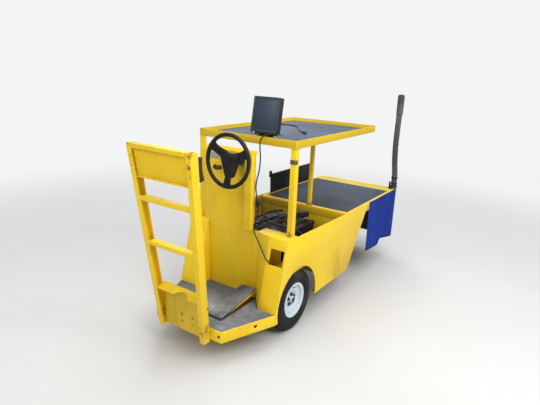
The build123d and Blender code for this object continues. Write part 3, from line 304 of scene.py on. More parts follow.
def makePedalSteel():
    # yellow paint along its sides, worn to dark steel on top and at the hinge
    f = Finish("pedalSteel", Specular_IOR_Level=0.3)
    cloud, fine = f.noise(14.0, 5.0, 0.65), f.noise(150.0, 4.0, 0.75)
    colour = f.blend(cloud.between(0.40, 0.68), (0.82, 0.58, 0.05), (0.46, 0.32, 0.05))
    hinge = 1.0 - f.along("X").between(axle.x - 0.44, axle.x - 0.38)
    facing = f.node("ShaderNodeNewGeometry", {}, {}, "Normal")
    upwards = f.node("ShaderNodeSeparateXYZ", {}, {"Vector": facing}, "Z").between(0.4, 0.8)
    bare = (hinge + upwards + fine.between(0.60, 0.68) * 0.7).clamped()
    colour = f.blend(bare, colour, (0.040, 0.037, 0.034))
    return f.surface(colour, 0.45 + bare * 0.15, f.bump(fine + cloud, 0.25, 0.0005))


def makeCastIron():
    f = Finish("castHousing")
    grain, cloud = f.noise(330.0, 4.0, 0.75), f.noise(8.0, 5.0, 0.6)
    grease = f.noise(5.0, 4.0, 0.65).between(0.52, 0.66)
    colour = f.blend(cloud.between(0.4, 0.7), (0.085, 0.086, 0.088), (0.15, 0.14, 0.12))
    colour = f.blend(grease * 0.8, colour, (0.02, 0.018, 0.015))
    return f.surface(colour, 0.62 - grease * 0.3, f.bump(grain + cloud * 2.0, 0.45, 0.0009))


def makeZincBolt():
    f = Finish("zincBolt", Metallic=1.0)
    cloud = f.noise(120.0, 4.0, 0.7)
    colour = f.blend(cloud.between(0.45, 0.65), (0.44, 0.42, 0.38), (0.20, 0.14, 0.09))
    return f.surface(colour, 0.38 + cloud * 0.25, f.bump(cloud, 0.2, 0.0002))


def makePlastic(name, base, dust, rough, grain=420.0, shine=0.4):
    f = Finish(name, Specular_IOR_Level=shine)
    cloud, fine = f.noise(7.0, 5.0, 0.6), f.noise(grain, 2.0, 0.6)
    dusty = (cloud.between(0.48, 0.78) * 0.5 + fine.between(0.6, 0.8) * 0.1).clamped()
    colour = f.blend(dusty, base, dust)
    return f.surface(colour, rough + cloud * 0.12, f.bump(fine, 0.18, 0.0003))


def makeVinyl():
    f = Finish("blackVinyl", Specular_IOR_Level=0.45)
    leather = f.cells(330.0)
    cloud, crease = f.noise(6.0, 5.0, 0.6), f.noise(40.0, 4.0, 0.7, None, 0.8)
    colour = f.blend(cloud.between(0.42, 0.75) * 0.7, (0.020, 0.020, 0.022), (0.065, 0.062, 0.058))
    colour = f.blend(crease.between(0.66, 0.74) * 0.5, colour, (0.12, 0.115, 0.10))
    return f.surface(colour, 0.48 + cloud * 0.15, f.bump(leather + crease * 0.8, 0.35, 0.0005))


def makeFoamCover():
    f = Finish("poleCover", Sheen_Weight=0.15)
    weave = f.noise(600.0, 2.0, 0.6)
    cloud, wrinkle = f.noise(5.0, 5.0, 0.65), f.noise(26.0, 4.0, 0.6, f.stretched(1.0, 1.0, 2.6), 0.5)
    colour = f.blend(cloud.between(0.38, 0.72), (0.040, 0.042, 0.043), (0.105, 0.108, 0.106))
    colour = f.blend(wrinkle.between(0.62, 0.74) * 0.5, colour, (0.17, 0.17, 0.165))
    return f.surface(colour, 0.82, f.bump(weave * 0.4 + wrinkle, 0.4, 0.0012))


def makeBlueCloth():
    f = Finish("blueCloth", Specular_IOR_Level=0.12)
    warp, weft = (f.node("ShaderNodeTexWave", {"bands_direction": way}, {"Vector": f.place, "Scale": 820.0})
                  for way in "XZ")
    cloud, slub = f.noise(5.0, 4.0, 0.6), f.noise(70.0, 4.0, 0.7, f.stretched(1.0, 1.0, 0.12))
    colour = f.blend(cloud.between(0.35, 0.7), (0.012, 0.034, 0.25), (0.018, 0.046, 0.33))
    colour = f.blend(slub.between(0.60, 0.72) * 0.25, colour, (0.026, 0.058, 0.38))
    return f.surface(colour, 0.86, f.bump(warp * weft + slub, 0.35, 0.0004))


# bayPaint and shadedPaint are darker, dirtier copies: painted shade for the battery bay, the tray pan and the
# kick panel
yellowPaint, bayPaint = makeYellowPaint(), makeYellowPaint("bayPaint", 0.72, 0.28)
shadedPaint = makeYellowPaint("shadedPaint", 0.80, 0.05)
grayMat = makeRubberMat("deckMat", (0.055, 0.070, 0.098), (0.120, 0.138, 0.180), 0.55)
# painted sky reflection: the tray mat is paler and bluer than the deck mat
paleMat = makeRubberMat("trayMat", (0.080, 0.102, 0.148), (0.145, 0.172, 0.230), 0.60)
floorMat = makeRubberMat("platformMat", (0.125, 0.136, 0.155), (0.42, 0.435, 0.455), 0.85, 0.75)
pedalMat = makeRubberMat("pedalMat", (0.118, 0.124, 0.134), (0.43, 0.438, 0.45), 0.85, 1.0)
tyreRubber, wheelWhite = makeTyreRubber(), makeWheelPaint()
blackSteel = makeDarkSteel("blackSteel", (0.020, 0.020, 0.021), (0.085, 0.078, 0.068))
hubSteel = makeDarkSteel("hubSteel", (0.036, 0.034, 0.032), (0.095, 0.078, 0.060))
castHousing, zincBolt, pedalSteel = makeCastIron(), makeZincBolt(), makePedalSteel()
blackPlastic = makePlastic("blackPlastic", (0.014, 0.014, 0.015), (0.060, 0.057, 0.052), 0.42)
boardPlastic = makePlastic("boardPlastic", (0.018, 0.024, 0.027), (0.060, 0.070, 0.074), 0.55, 160.0, 0.25)
batteryCase = makePlastic("batteryCase", (0.010, 0.010, 0.012), (0.040, 0.037, 0.034), 0.50, 300.0, 0.28)
slatePlastic = makePlastic("slatePlastic", (0.034, 0.046, 0.062), (0.080, 0.094, 0.108), 0.46)
wheelPlastic = makePlastic("steeringPlastic", (0.008, 0.008, 0.009), (0.028, 0.026, 0.025), 0.42, 700.0, 0.28)
cableRubber = makePlastic("cableRubber", (0.012, 0.012, 0.013), (0.075, 0.070, 0.062), 0.55, 900.0)
screenGlass = makePlastic("screenPanel", (0.022, 0.028, 0.035), (0.040, 0.046, 0.052), 0.20, 60.0)
displayFace = makePlastic("displayFace", (0.030, 0.050, 0.075), (0.055, 0.078, 0.105), 0.34, 60.0)
paleButton = makePlastic("paleButton", (0.75, 0.75, 0.72), (0.45, 0.43, 0.40), 0.35)
barePlate = makePlastic("barePlate", (0.36, 0.34, 0.29), (0.22, 0.19, 0.14), 0.40, 90.0)
# dullYellow, the deck strip's finish, is yellow dulled towards olive: dirt together with a painted reflection
# on its flat top
dullYellow = makePlastic("dullYellow", (0.60, 0.46, 0.075), (0.36, 0.31, 0.13), 0.50, 50.0, 0.3)
dullPlate = makePlastic("dullPlate", (0.105, 0.085, 0.040), (0.045, 0.040, 0.024), 0.45, 220.0)
capPlastic = makePlastic("capPlastic", (0.045, 0.045, 0.047), (0.12, 0.11, 0.10), 0.40)
leadMetal = makeDarkSteel("leadMetal", (0.17, 0.17, 0.175), (0.10, 0.10, 0.10))
blackVinyl, poleCover, blueCloth = makeVinyl(), makeFoamCover(), makeBlueCloth()
print("finishes made")


# Mesh helpers
def shift(*spot):
    # a move by three numbers or by one vector
    return Matrix.Translation(spot if len(spot) == 3 else spot[0])


def rotated(degrees, axis):
    return Matrix.Rotation(math.radians(degrees), 4, axis)


def turned(origin, direction, spin=0.0):
    aim = Vector(direction).to_track_quat("Z", "Y").to_matrix().to_4x4()
    return shift(origin) @ aim @ Matrix.Rotation(spin, 4, "Z")


def around(count):
    # cosine and sine at even steps round a circle
    return [(math.cos(2 * math.pi * i / count), math.sin(2 * math.pi * i / count)) for i in range(count)]


def linked(name, data):
    obj = bpy.data.objects.new(name, data)
    bpy.context.scene.collection.objects.link(obj)
    return obj


def loft(bm, rings, closed=False):
    # skins a row of rings of vertices, which is capped at both ends unless it closes on itself
    count = len(rings[0])
    for lower, upper in zip(rings, rings[1:] + (rings[:1] if closed else [])):
        for k in range(count):
            bm.faces.new((lower[k], lower[(k + 1) % count], upper[(k + 1) % count], upper[k]))
    if not closed:
        bm.faces.new(rings[0])
        bm.faces.new(rings[-1])


def rounded(points, radius, closed=False, steps=3):
    # each corner becomes a short curve, as wide as its two sides allow
    path, count = [], len(points)
    for i, point in enumerate(points):
        corner = Vector(point)
        if not closed and i in (0, count - 1):
            path.append(corner)
            continue
        before, after = Vector(points[i - 1]), Vector(points[(i + 1) % count])
        start = corner + (before - corner).normalized() * min(radius, (before - corner).length * 0.45)
        end = corner + (after - corner).normalized() * min(radius, (after - corner).length * 0.45)
        for k in range(steps + 1):
            t = k / steps
            path.append(start.lerp(corner, t).lerp(corner.lerp(end, t), t))
    return path


def bevel(bm, edges, radius, rounds=2, clamp=False):
    bmesh.ops.bevel(bm, geom=edges, offset=radius, segments=rounds, profile=0.5, affect="EDGES",
                    clamp_overlap=clamp)


def sharpEdges(bm, degrees):
    limit = math.radians(degrees)
    return [e for e in bm.edges if len(e.link_faces) == 2 and e.calc_face_angle(0.0) > limit]


def solid(node):
    bm = bmesh.new()
    bm.from_mesh(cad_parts[node].data)
    bmesh.ops.remove_doubles(bm, verts=bm.verts, dist=1e-5)
    return bm


def joinInto(bm, part, matrix=None, finish=0):
    for face in part.faces:
        face.material_index = finish
    if matrix is not None:
        bmesh.ops.transform(part, matrix=matrix, verts=part.verts)
    mesh = bpy.data.meshes.new("joined")
    part.to_mesh(mesh)
    part.free()
    bm.from_mesh(mesh)
    bpy.data.meshes.remove(mesh)


def block(size, edge, rounds=2):
    part = bmesh.new()
    bmesh.ops.create_cube(part, size=1.0)
    bmesh.ops.scale(part, vec=Vector(size), verts=part.verts)
    bevel(part, part.edges[:], edge, rounds, True)
    return part


def lathe(profile, steps):
    # profile: radius and height pairs, turned round Z; open ends are capped
    first, last = Vector(profile[0]), Vector(profile[-1])
    if (first - last).length > 1e-6:
        profile = [(0.0, first.y), *profile] if first.x > 1e-6 else list(profile)
        if last.x > 1e-6:
            profile.append((0.0, last.y))
    part = bmesh.new()
    rings = []
    for radius, height in profile:
        if radius < 1e-6:
            rings.append([part.verts.new((0.0, 0.0, height))] * steps)
        else:
            rings.append([part.verts.new((radius * c, radius * s, height)) for c, s in around(steps)])
    for lower, upper in zip(rings, rings[1:]):
        for i in range(steps):
            corners = []
            for v in (lower[i], lower[(i + 1) % steps], upper[(i + 1) % steps], upper[i]):
                if v not in corners:
                    corners.append(v)
            if len(corners) > 2:
                part.faces.new(corners)
    return part


def place(name, bm, finishes, replaces=(), slot=None, smooth=38.0, body="carrier"):
    bmesh.ops.recalc_face_normals(bm, faces=bm.faces)
    mesh = bpy.data.meshes.new(name)
    bm.to_mesh(mesh)
    bm.free()
    obj = linked(name, mesh)
    for finish in finishes if isinstance(finishes, (list, tuple)) else [finishes]:
        mesh.materials.append(finish)
    mesh.shade_smooth()
    mesh.set_sharp_from_angle(angle=math.radians(smooth))
    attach(obj, body)
    if replaces:
        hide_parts(*replaces)
    return obj


def softened(node, edge):
    # the solid's own surface with its sharp edges rounded
    bm = solid(node)
    bmesh.ops.join_triangles(bm, faces=bm.faces, angle_face_threshold=math.radians(0.6),
                             angle_shape_threshold=math.pi)
    bevel(bm, sharpEdges(bm, 30), edge)
    bmesh.ops.triangulate(bm, faces=[f for f in bm.faces if len(f.verts) > 4])
    return bm


def dress(table):
    # node, how far its edges are rounded, finish, slot
    for node, edge, finish, slot in table:
        words = node.split("_")
        name = words[0] + "".join(w.capitalize() for w in words[1:])
        body = "fork" if node == "steer_fork" else "carrier"
        place(name, softened(node, edge), finish, [node], slot, 30.0, body)


def hexBolt(size, washer=True):
    # size is across the flats
    bm = bmesh.new()
    head = lathe([(0.0, size * 0.62), (size * 0.42, size * 0.62), (size * 0.50, size * 0.56),
                  (size * 0.577, size * 0.48), (size * 0.577, 0.0)], 6)
    joinInto(bm, head, shift(0, 0, size * 0.14 if washer else 0.0))
    if washer:
        joinInto(bm, lathe([(0.0, size * 0.16), (size * 0.88, size * 0.16), (size * 0.95, size * 0.10),
                            (size * 0.95, 0.0)], 24))
    return bm


def bolts(name, body, places, size, finish):
    # places: point on the surface and the direction the head faces
    bm, turns = bmesh.new(), random.Random(len(places) * 7 + 3)
    for point, direction in places:
        joinInto(bm, hexBolt(size), turned(point, direction, turns.uniform(0, 1.0)))
    place(name, bm, finish, body=body)


def beadAlong(name, runs, radius):
    # weld beads: each run is a start, an end and the direction that faces out
    bm = bmesh.new()
    for start, end, out in runs:
        along, length = (end - start).normalized(), (end - start).length
        side = along.cross(Vector(out)).normalized()
        count, rings = max(4, int(length / (radius * 0.9))), []
        for i in range(count + 1):
            swell = radius * (1.0 + 0.16 * math.sin(i * 2.2) + 0.10 * noiseAt(start * 40 + along * i))
            centre = start + along * (length * i / count)
            rings.append([bm.verts.new(centre + Vector(out) * (swell * c) * 0.8 + side * (swell * s))
                          for c, s in around(8)])
        loft(bm, rings)
    place(name, bm, yellowPaint, smooth=80.0)


# Camera and stage
def makeCamera():
    view = {"eye": at(-2.371, -1.729, 1.654), "yaw": 33.71, "pitch": 16.17, "roll": 2.36,
            "focal": 463.0, "photoWidth": 540.0, "sensor": 36.0, "nearest": 0.05, "farthest": 200.0}
    yaw, pitch, roll = (math.radians(view[k]) for k in ("yaw", "pitch", "roll"))
    ahead = Vector((math.cos(yaw) * math.cos(pitch), math.sin(yaw) * math.cos(pitch), -math.sin(pitch)))
    level = Vector((math.sin(yaw), -math.cos(yaw), 0.0))
    above = level.cross(ahead)
    right = level * math.cos(roll) + above * math.sin(roll)
    up = above * math.cos(roll) - level * math.sin(roll)
    camera = linked("camera", bpy.data.cameras.new("camera"))
    camera.data.sensor_width = view["sensor"]
    camera.data.lens = view["focal"] / view["photoWidth"] * view["sensor"]
    axes = Matrix((right, up, -ahead)).transposed().to_4x4()
    camera.matrix_world = shift(view["eye"]) @ axes
    camera.data.clip_start, camera.data.clip_end = view["nearest"], view["farthest"]
    bpy.context.scene.camera = camera


def makeStage():
    stage = {"size": 60.0, "floor": (0.62, 0.62, 0.615), "backdrop": (0.90, 0.905, 0.91),
             "sky": (0.96, 0.98, 1.0), "skyStrength": 0.42, "fadeFrom": 1.6, "fadeTo": 5.5}
    bm = bmesh.new()
    bmesh.ops.create_grid(bm, x_segments=1, y_segments=1, size=stage["size"] / 2)
    mesh = bpy.data.meshes.new("studioFloor")
    bm.to_mesh(mesh)
    bm.free()
    floor = linked("studioFloor", mesh)
    f = Finish("studioFloor", Roughness=0.75)
    mesh.materials.append(f.surface(f.blend(f.noise(0.8, 3.0).between(0.3, 0.7), stage["floor"],
                                            tuple(c * 0.96 for c in stage["floor"]))))
    # far from the carrier the camera sees the floor as the backdrop
    away = f.node("ShaderNodeVectorMath", {"operation": "LENGTH"}, {0: f.place}, "Value")
    seen = f.node("ShaderNodeLightPath", {}, {}, "Is Camera Ray")
    shown = f.node("ShaderNodeEmission", {}, {"Color": (*stage["backdrop"], 1.0), "Strength": 1.0})
    fade = away.between(stage["fadeFrom"], stage["fadeTo"]) * seen
    mixed = f.node("ShaderNodeMixShader", {}, {0: fade, 1: Wire(f, f.shader.outputs[0]), 2: shown})
    f.feed(f.tree.nodes["Material Output"].inputs["Surface"], mixed)
    world = bpy.data.worlds.new("studio")
    bpy.context.scene.world = world
    world.use_nodes = True
    nodes = world.node_tree.nodes
    light, shown = nodes["Background"], nodes.new("ShaderNodeBackground")
    for background, colour, strength in ((light, stage["sky"], stage["skyStrength"]),
                                         (shown, stage["backdrop"], 1.0)):
        background.inputs["Color"].default_value = (*colour, 1.0)
        background.inputs["Strength"].default_value = strength
    rays, mix = nodes.new("ShaderNodeLightPath"), nodes.new("ShaderNodeMixShader")
    for start, end in ((rays.outputs["Is Camera Ray"], mix.inputs[0]), (light.outputs[0], mix.inputs[1]),
                       (shown.outputs[0], mix.inputs[2]),
                       (mix.outputs[0], nodes["World Output"].inputs["Surface"])):
        world.node_tree.links.new(start, end)


def makeLights():
    centre = (cadLow + cadHigh) / 2
    # name, place round the centre, size, power
    table = (("key", (-1.4, -3.6, 3.4), 3.2, 178.0), ("top", (0.6, -0.4, 4.4), 4.5, 150.0),
             ("back", (-4.0, 0.4, 2.6), 3.0, 62.0), ("front", (3.2, 2.8, 2.8), 3.0, 60.0))
    for name, offset, size, power in table:
        lamp = bpy.data.lights.new(name, "AREA")
        lamp.shape, lamp.size, lamp.energy = "DISK", size, power
        obj = linked(name, lamp)
        spot = centre + Vector(offset)
        obj.location = spot
        obj.rotation_mode = "QUATERNION"
        obj.rotation_quaternion = (centre - spot).to_track_quat("-Z", "Y")


makeCamera()
makeStage()
makeLights()
bpy.context.scene.view_settings.view_transform = "Standard"
print("camera, floor and lights made")


# Free cords
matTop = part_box("tray_mat")[1].z
leadRadius, leadLift = 0.004, 0.0003
leadLevel = matTop + leadRadius + leadLift


def layCord(name, route, radius, node, **facts):
    curve = bpy.data.curves.new(name, "CURVE")
    curve.dimensions, curve.bevel_depth, curve.bevel_resolution = "3D", radius, 5
    curve.resolution_u, curve.use_fill_caps = 14, True
    spline = curve.splines.new("NURBS")
    points = [at(*p) for p in route]
    spline.points.add(len(points) - 1)
    for knot, p in zip(spline.points, points):
        knot.co = (*p, 1.0)
    spline.order_u, spline.use_endpoint_u = 3, True
    obj = linked(name, curve)
    curve.materials.append(cableRubber)
    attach(obj, "carrier")
    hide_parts(node)


def makeDisplayPlug(tip, before):
    plug = {"length": 0.044, "width": 0.022, "height": 0.016, "edge": 0.003, "gap": 0.0007}
    length, width, height = plug["length"], plug["width"], plug["height"]
    bm, along = bmesh.new(), (tip - before).normalized()
    middle = tip + along * (plug["gap"] + length / 2)
    middle.z = matTop + leadLift + height / 2
    aim = shift(middle) @ Matrix.Rotation(math.atan2(along.y, along.x), 4, "Z")
    joinInto(bm, block((length * 0.62, width, height), plug["edge"], 3), aim @ shift(-length * 0.19, 0, 0))
    joinInto(bm, block((length * 0.36, width * 0.62, height * 0.42), 0.0006),
             aim @ shift(length * 0.31, 0, 0), 1)
    for i in range(4):
        joinInto(bm, block((0.0012, width * 0.8, height + 0.0008), 0.0003),
                 aim @ shift(-length * 0.36 + i * 0.0036, 0, 0))
    return place("displayPlug", bm, [blackPlastic, hubSteel], ["display_plug"], "black_plastic")


def makeLeadConnector(top, low):
    # two moulded halves with grip rings and a locking collar
    joint = {"radius": 0.013, "gap": 0.0007, "neck": 0.013, "rings": 5, "pitch": 0.0048}
    along, r, height = (top - low).normalized(), joint["radius"], joint["neck"]
    length = (top - low).length - 2 * joint["gap"]
    profile = [(0.0, 0.0), (0.0052, 0.0), (0.0062, 0.003), (0.0064, 0.010), (0.0095, height)]
    for i in range(joint["rings"]):
        profile += [(r * 0.98, height + 0.0010), (r * 0.98, height + 0.0032), (r * 0.86, height + 0.0040),
                    (r * 0.86, height + joint["pitch"])]
        height += joint["pitch"]
    profile += [(r, height + 0.001), (r, length - 0.014), (r * 0.90, length - 0.012),
                (r * 0.74, length - 0.010), (0.0062, length - 0.007), (0.0056, length), (0.0, length)]
    bm = bmesh.new()
    joinInto(bm, lathe(profile, 40), turned(low + along * joint["gap"], along))
    return place("leadConnector", bm, blackPlastic, ["lead_connector"], "black_plastic", 30.0)


def makeCords():
    leadRoute = [(0.0015, -0.060, 1.310), (0.030, -0.048, 1.306), (0.058, -0.020, 1.284),
                 (0.086, 0.020, 1.252)]
    leadRoute += [(x, y, leadLevel) for x, y in (
        (0.128, 0.072), (0.214, 0.150), (0.330, 0.228), (0.454, 0.290), (0.576, 0.322), (0.672, 0.306),
        (0.724, 0.240), (0.730, 0.160), (0.690, 0.088), (0.610, 0.036), (0.530, -0.018), (0.462, -0.074),
        (0.412, -0.130))]
    powerRoute = [(x, y, 0.878 + 0.388 * share) for x, y, share in (
        (-0.072, -0.152, 1), (-0.094, -0.150, 1.003), (-0.114, -0.146, 0.974), (-0.127, -0.142, 0.907),
        (-0.130, -0.146, 0.804), (-0.130, -0.152, 0.696), (-0.131, -0.152, 0.557), (-0.131, -0.144, 0.418),
        (-0.132, -0.128, 0.276), (-0.132, -0.126, 0.134), (-0.132, -0.138, 0))]
    dropRoute = [(-0.132, -0.147, 0.822), (-0.134, -0.149, 0.780), (-0.137, -0.133, 0.735),
                 (-0.141, -0.125, 0.692), (-0.152, -0.144, 0.652), (-0.170, -0.190, 0.612),
                 (-0.188, -0.234, 0.566), (-0.202, -0.268, 0.530), (-0.194, -0.291, 0.514),
                 (-0.174, -0.303, 0.502), (-0.158, -0.313, 0.482), (-0.152, -0.319, 0.458),
                 (-0.152, -0.320, 0.446)]
    plug = makeDisplayPlug(at(*leadRoute[-1]), at(*leadRoute[-2]))
    connector = makeLeadConnector(at(*powerRoute[-1]), at(*dropRoute[0]))
    layCord("displayLead", leadRoute, leadRadius, "display_lead", length=1.41, far_end="plug",
            stiffness="medium", lay="loose", with_pieces=[plug])
    layCord("powerLead", powerRoute, leadRadius, "power_lead", length=0.41, far_end="connector",
            stiffness="medium", lay="hanging", with_pieces=[connector])
    layCord("powerDrop", dropRoute, leadRadius, "power_drop", length=0.46, far_end="object",
            stiffness="medium", lay="hanging")


makeCords()
print("cords laid")


# Painted sheet metal, with its edges broken
def makeSheetMetal():
    paints = {"bay_floor": bayPaint, "tray_pan": shadedPaint, "kick_panel": shadedPaint}
    # node and how far its edges are rounded
    table = (("platform_frame", 0.0016), ("ladder_uprights", 0.0015),
             ("ladder_rungs", 0.0010), ("kick_panel", 0.0015), ("side_panel_left", 0.0014),
             ("side_panel_right", 0.0014), ("shoulder_left", 0.0014), ("shoulder_right", 0.0014),
             ("bay_floor", 0.0012), ("dash_panel", 0.0012), ("tray_pan", 0.0012), ("tray_posts", 0.0008),
             ("deck_frame", 0.0014))
    dress((node, edge, paints.get(node, yellowPaint), "yellow_paint") for node, edge in table)


# Header of the ladder: its plate stands back between the top rail and the ledge along its lower edge
def makeHeader():
    header = {"low": 1.076, "top": 1.256, "rail": 0.024, "deep": 0.050, "skin": 0.005, "plate": 0.004,
              "set": 0.017, "lip": 0.0012, "inset": 0.0343, "edge": 0.0011}
    low, top, under = header["low"], header["top"], header["top"] - header["rail"]
    skin, back = header["skin"], header["set"]
    # lower and upper level, front and rear depth behind the ladder's rear plane
    table = ((low, under, back + header["plate"], back),
             (low, low + skin, back + header["plate"], header["lip"]),
             (top - skin, top, header["deep"], 0.0), (under, top - skin, skin, 0.0),
             (under, top - skin, header["deep"], header["deep"] - skin))
    bm = bmesh.new()
    for z0, z1, front, rear in table:
        part = bmesh.new()
        bmesh.ops.create_cube(part, size=1.0)
        for v in part.verts:
            z = z1 if v.co.z > 0 else z0
            y = (ladderHalf(z) - header["inset"]) * (1 if v.co.y > 0 else -1)
            v.co = at(ladderX(z) + (front if v.co.x > 0 else rear), y, z)
        bevel(part, part.edges[:], header["edge"])
        joinInto(bm, part)
    place("ladderHeader", bm, yellowPaint, ["ladder_header"], "yellow_paint", 30.0)


makeSheetMetal()
makeHeader()
# no piece stands for the battery cables, so their solid shows
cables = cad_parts["battery_cables"].data.materials
cables.clear()
cables.append(cableRubber)
print("sheet metal dressed")


# Wheels
def makeTyre(name, body, node, centre):
    tyre = {"radius": 0.208, "bead": 0.102, "seat": 0.039, "half": 0.061, "steps": 160, "groove": 0.0062,
            "zigzag": 0.0022, "notch": 0.006, "period": 4}
    crown, half, seat = tyre["radius"], tyre["half"], tyre["seat"]
    # radius and distance from the middle plane, from the bead to the shoulder, which is notched
    wall = [(tyre["bead"], seat), (0.1035, seat + 0.002), (0.118, seat + 0.004), (0.121, seat + 0.0075),
            (0.126, seat + 0.0085), (0.137, half - 0.0085), (0.146, half - 0.0035), (0.1475, half - 0.0008),
            (0.1515, half - 0.0003), (0.153, half - 0.0018), (0.165, half - 0.0004), (0.1715, half - 0.0016),
            (0.1730, half - 0.0008), (0.1765, half - 0.0018), (0.178, half - 0.0040), (0.190, half - 0.0085),
            (0.198, half - 0.0125), (0.2035, half - 0.0190), (0.2058, half - 0.0240)]
    notches = {0.190: 0.4, 0.198: 1.0, 0.2035: 0.6}
    # the tread's ribs are parted by grooves that run in a zigzag
    tread = []
    for middle in (0.024, 0.0):
        lip, bed = crown - middle / 12, crown - middle / 12 - tyre["groove"]
        tread += [(lip, middle + 0.0036, 1, 0), (bed, middle + 0.0022, 1, 0), (bed, middle - 0.0022, 1, 0),
                  (lip, middle - 0.0036, 1, 0)]
        if middle:
            tread += [(crown - 0.0008, 0.013, 0, 0)]
    upper = [(r, w, 0, notches.get(r, 0)) for r, w in wall] + tread[:5]
    # radius, distance from the middle plane, how far it follows the zigzag, and the notch
    profile = upper + tread[5:] + [(r, -w, z, n) for r, w, z, n in reversed(upper)]
    bm, rows = bmesh.new(), []
    for radius, width, zig, notch in profile:
        row = []
        for i, (c, s) in enumerate(around(tyre["steps"])):
            phase = i % tyre["period"]
            bend = tyre["zigzag"] * zig * (1 if phase < tyre["period"] / 2 else -1)
            r = radius - (tyre["notch"] * notch if phase == 0 else 0.0)
            row.append(bm.verts.new((r * c, r * s, width + bend)))
        rows.append(row)
    loft(bm, rows, True)
    bmesh.ops.transform(bm, matrix=turned(centre, (0, 1, 0)), verts=bm.verts)
    place(name, bm, tyreRubber, [node], "tyre", 32.0, body)


def makeRim(name, body, node, centre, outward):
    rim = {"barrel": 0.1017, "flange": 0.118, "edge": 0.047, "disc": 0.016, "hub": 0.042, "bore": 0.0126,
           "nose": 0.040, "lugs": 5, "lugCircle": 0.033, "steps": 96}
    b, e, d, flange = rim["barrel"], rim["edge"], rim["disc"], rim["flange"]
    bore, nose = rim["bore"], rim["nose"]
    pressed = [(b - 0.005, -e + 0.009), (b - 0.004, -e), (flange, -e - 0.003), (flange, -e + 0.003),
               (b, -e + 0.006), (b, e - 0.006), (flange, e - 0.003), (flange, e + 0.003), (b - 0.004, e),
               (b - 0.005, d + 0.010), (b - 0.014, d + 0.0155), (b - 0.024, d + 0.0165),
               (b - 0.044, d + 0.012), (rim["hub"] + 0.006, d + 0.001), (bore, d), (bore, d - 0.012),
               (rim["hub"] + 0.008, d - 0.006), (b - 0.044, d + 0.006), (b - 0.022, d + 0.010),
               (b - 0.011, d + 0.002), (b - 0.005, -e + 0.009)]
    bm = bmesh.new()
    aim = turned(centre, (0, outward, 0))
    joinInto(bm, lathe(rounded(pressed, 0.003), rim["steps"]), aim)
    hub = [(bore, -0.035), (0.034, -0.035), (rim["hub"], -0.023), (rim["hub"], d + 0.003), (0.026, d + 0.006),
           (0.0225, d + 0.009), (0.020, nose), (bore, nose), (bore, -0.035)]
    joinInto(bm, lathe(rounded(hub, 0.0022), 48), aim)
    cap = [(0.0, nose + 0.0065), (0.009, nose + 0.006), (0.0165, nose + 0.0025), (0.0185, nose - 0.002),
           (0.0185, nose - 0.004)]
    joinInto(bm, lathe(rounded(cap, 0.002), 40), aim, 1)
    for i, (c, s) in enumerate(around(rim["lugs"])):
        spot = aim @ shift(rim["lugCircle"] * s, rim["lugCircle"] * c, d + 0.0035)
        joinInto(bm, hexBolt(0.0165), spot @ Matrix.Rotation(0.3 * i, 4, "Z"), 1)
    stem = [(0.0, 0.022), (0.0028, 0.022), (0.0032, 0.014), (0.0042, 0.012), (0.0048, 0.002), (0.0065, 0.0)]
    spot = aim @ shift(0.0, b - 0.020, d + 0.012) @ rotated(-20, "X")
    joinInto(bm, lathe(stem, 16), spot, 2)
    place(name, bm, [wheelWhite, hubSteel, cableRubber], [node], "white_paint", 32.0, body)


def makeWheels():
    # piece ending, body, node, middle of the wheel, outward side
    table = (("Left", "rear_wheel_left", "rear_{}_left", leftWheel, 1),
             ("Right", "rear_wheel_right", "rear_{}_right", rightWheel, -1),
             ("Front", "front_wheel", "front_{}", boxMiddle("front_tyre"), 1))
    for label, body, node, centre, outward in table:
        makeTyre(f"tyre{label}", body, node.format("tyre"), centre)
        makeRim(f"rim{label}", body, node.format("rim"), centre, outward)


# Rubber mats with fine grooves along the carrier
def makeMat(name, node, finish, mat):
    bm = solid(node)
    bmesh.ops.dissolve_limit(bm, angle_limit=math.radians(0.6), verts=bm.verts, edges=bm.edges)
    low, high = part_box(node)
    count = int((high.y - low.y - 2 * mat["margin"]) / mat["pitch"])
    first = (low.y + high.y - (count - 1) * mat["pitch"]) / 2
    middles = [first + i * mat["pitch"] for i in range(count)]
    for y in middles:
        for offset in (-mat["groove"] / 2, 0.0, mat["groove"] / 2):
            everything = bm.verts[:] + bm.edges[:] + bm.faces[:]
            bmesh.ops.bisect_plane(bm, geom=everything, dist=1e-6, plane_co=(0, y + offset, 0),
                                   plane_no=(0, 1, 0))
    for v in bm.verts:
        if v.co.z > high.z - 1e-5 and min(abs(v.co.y - y) for y in middles) < 1e-5:
            v.co.z -= mat["depth"]
    place(name, bm, finish, [node], "grey_mat", 20.0)


def makeMats():
    ribbed = {"pitch": 0.012, "groove": 0.0034, "depth": 0.0012, "margin": 0.010}
    makeMat("trayMat", "tray_mat", paleMat, ribbed)
    makeMat("deckMat", "deck_mat", grayMat, ribbed)
    makeMat("platformMat", "platform_mat", floorMat, dict(ribbed, pitch=0.010))


makeWheels()
makeMats()
print("wheels and mats made")


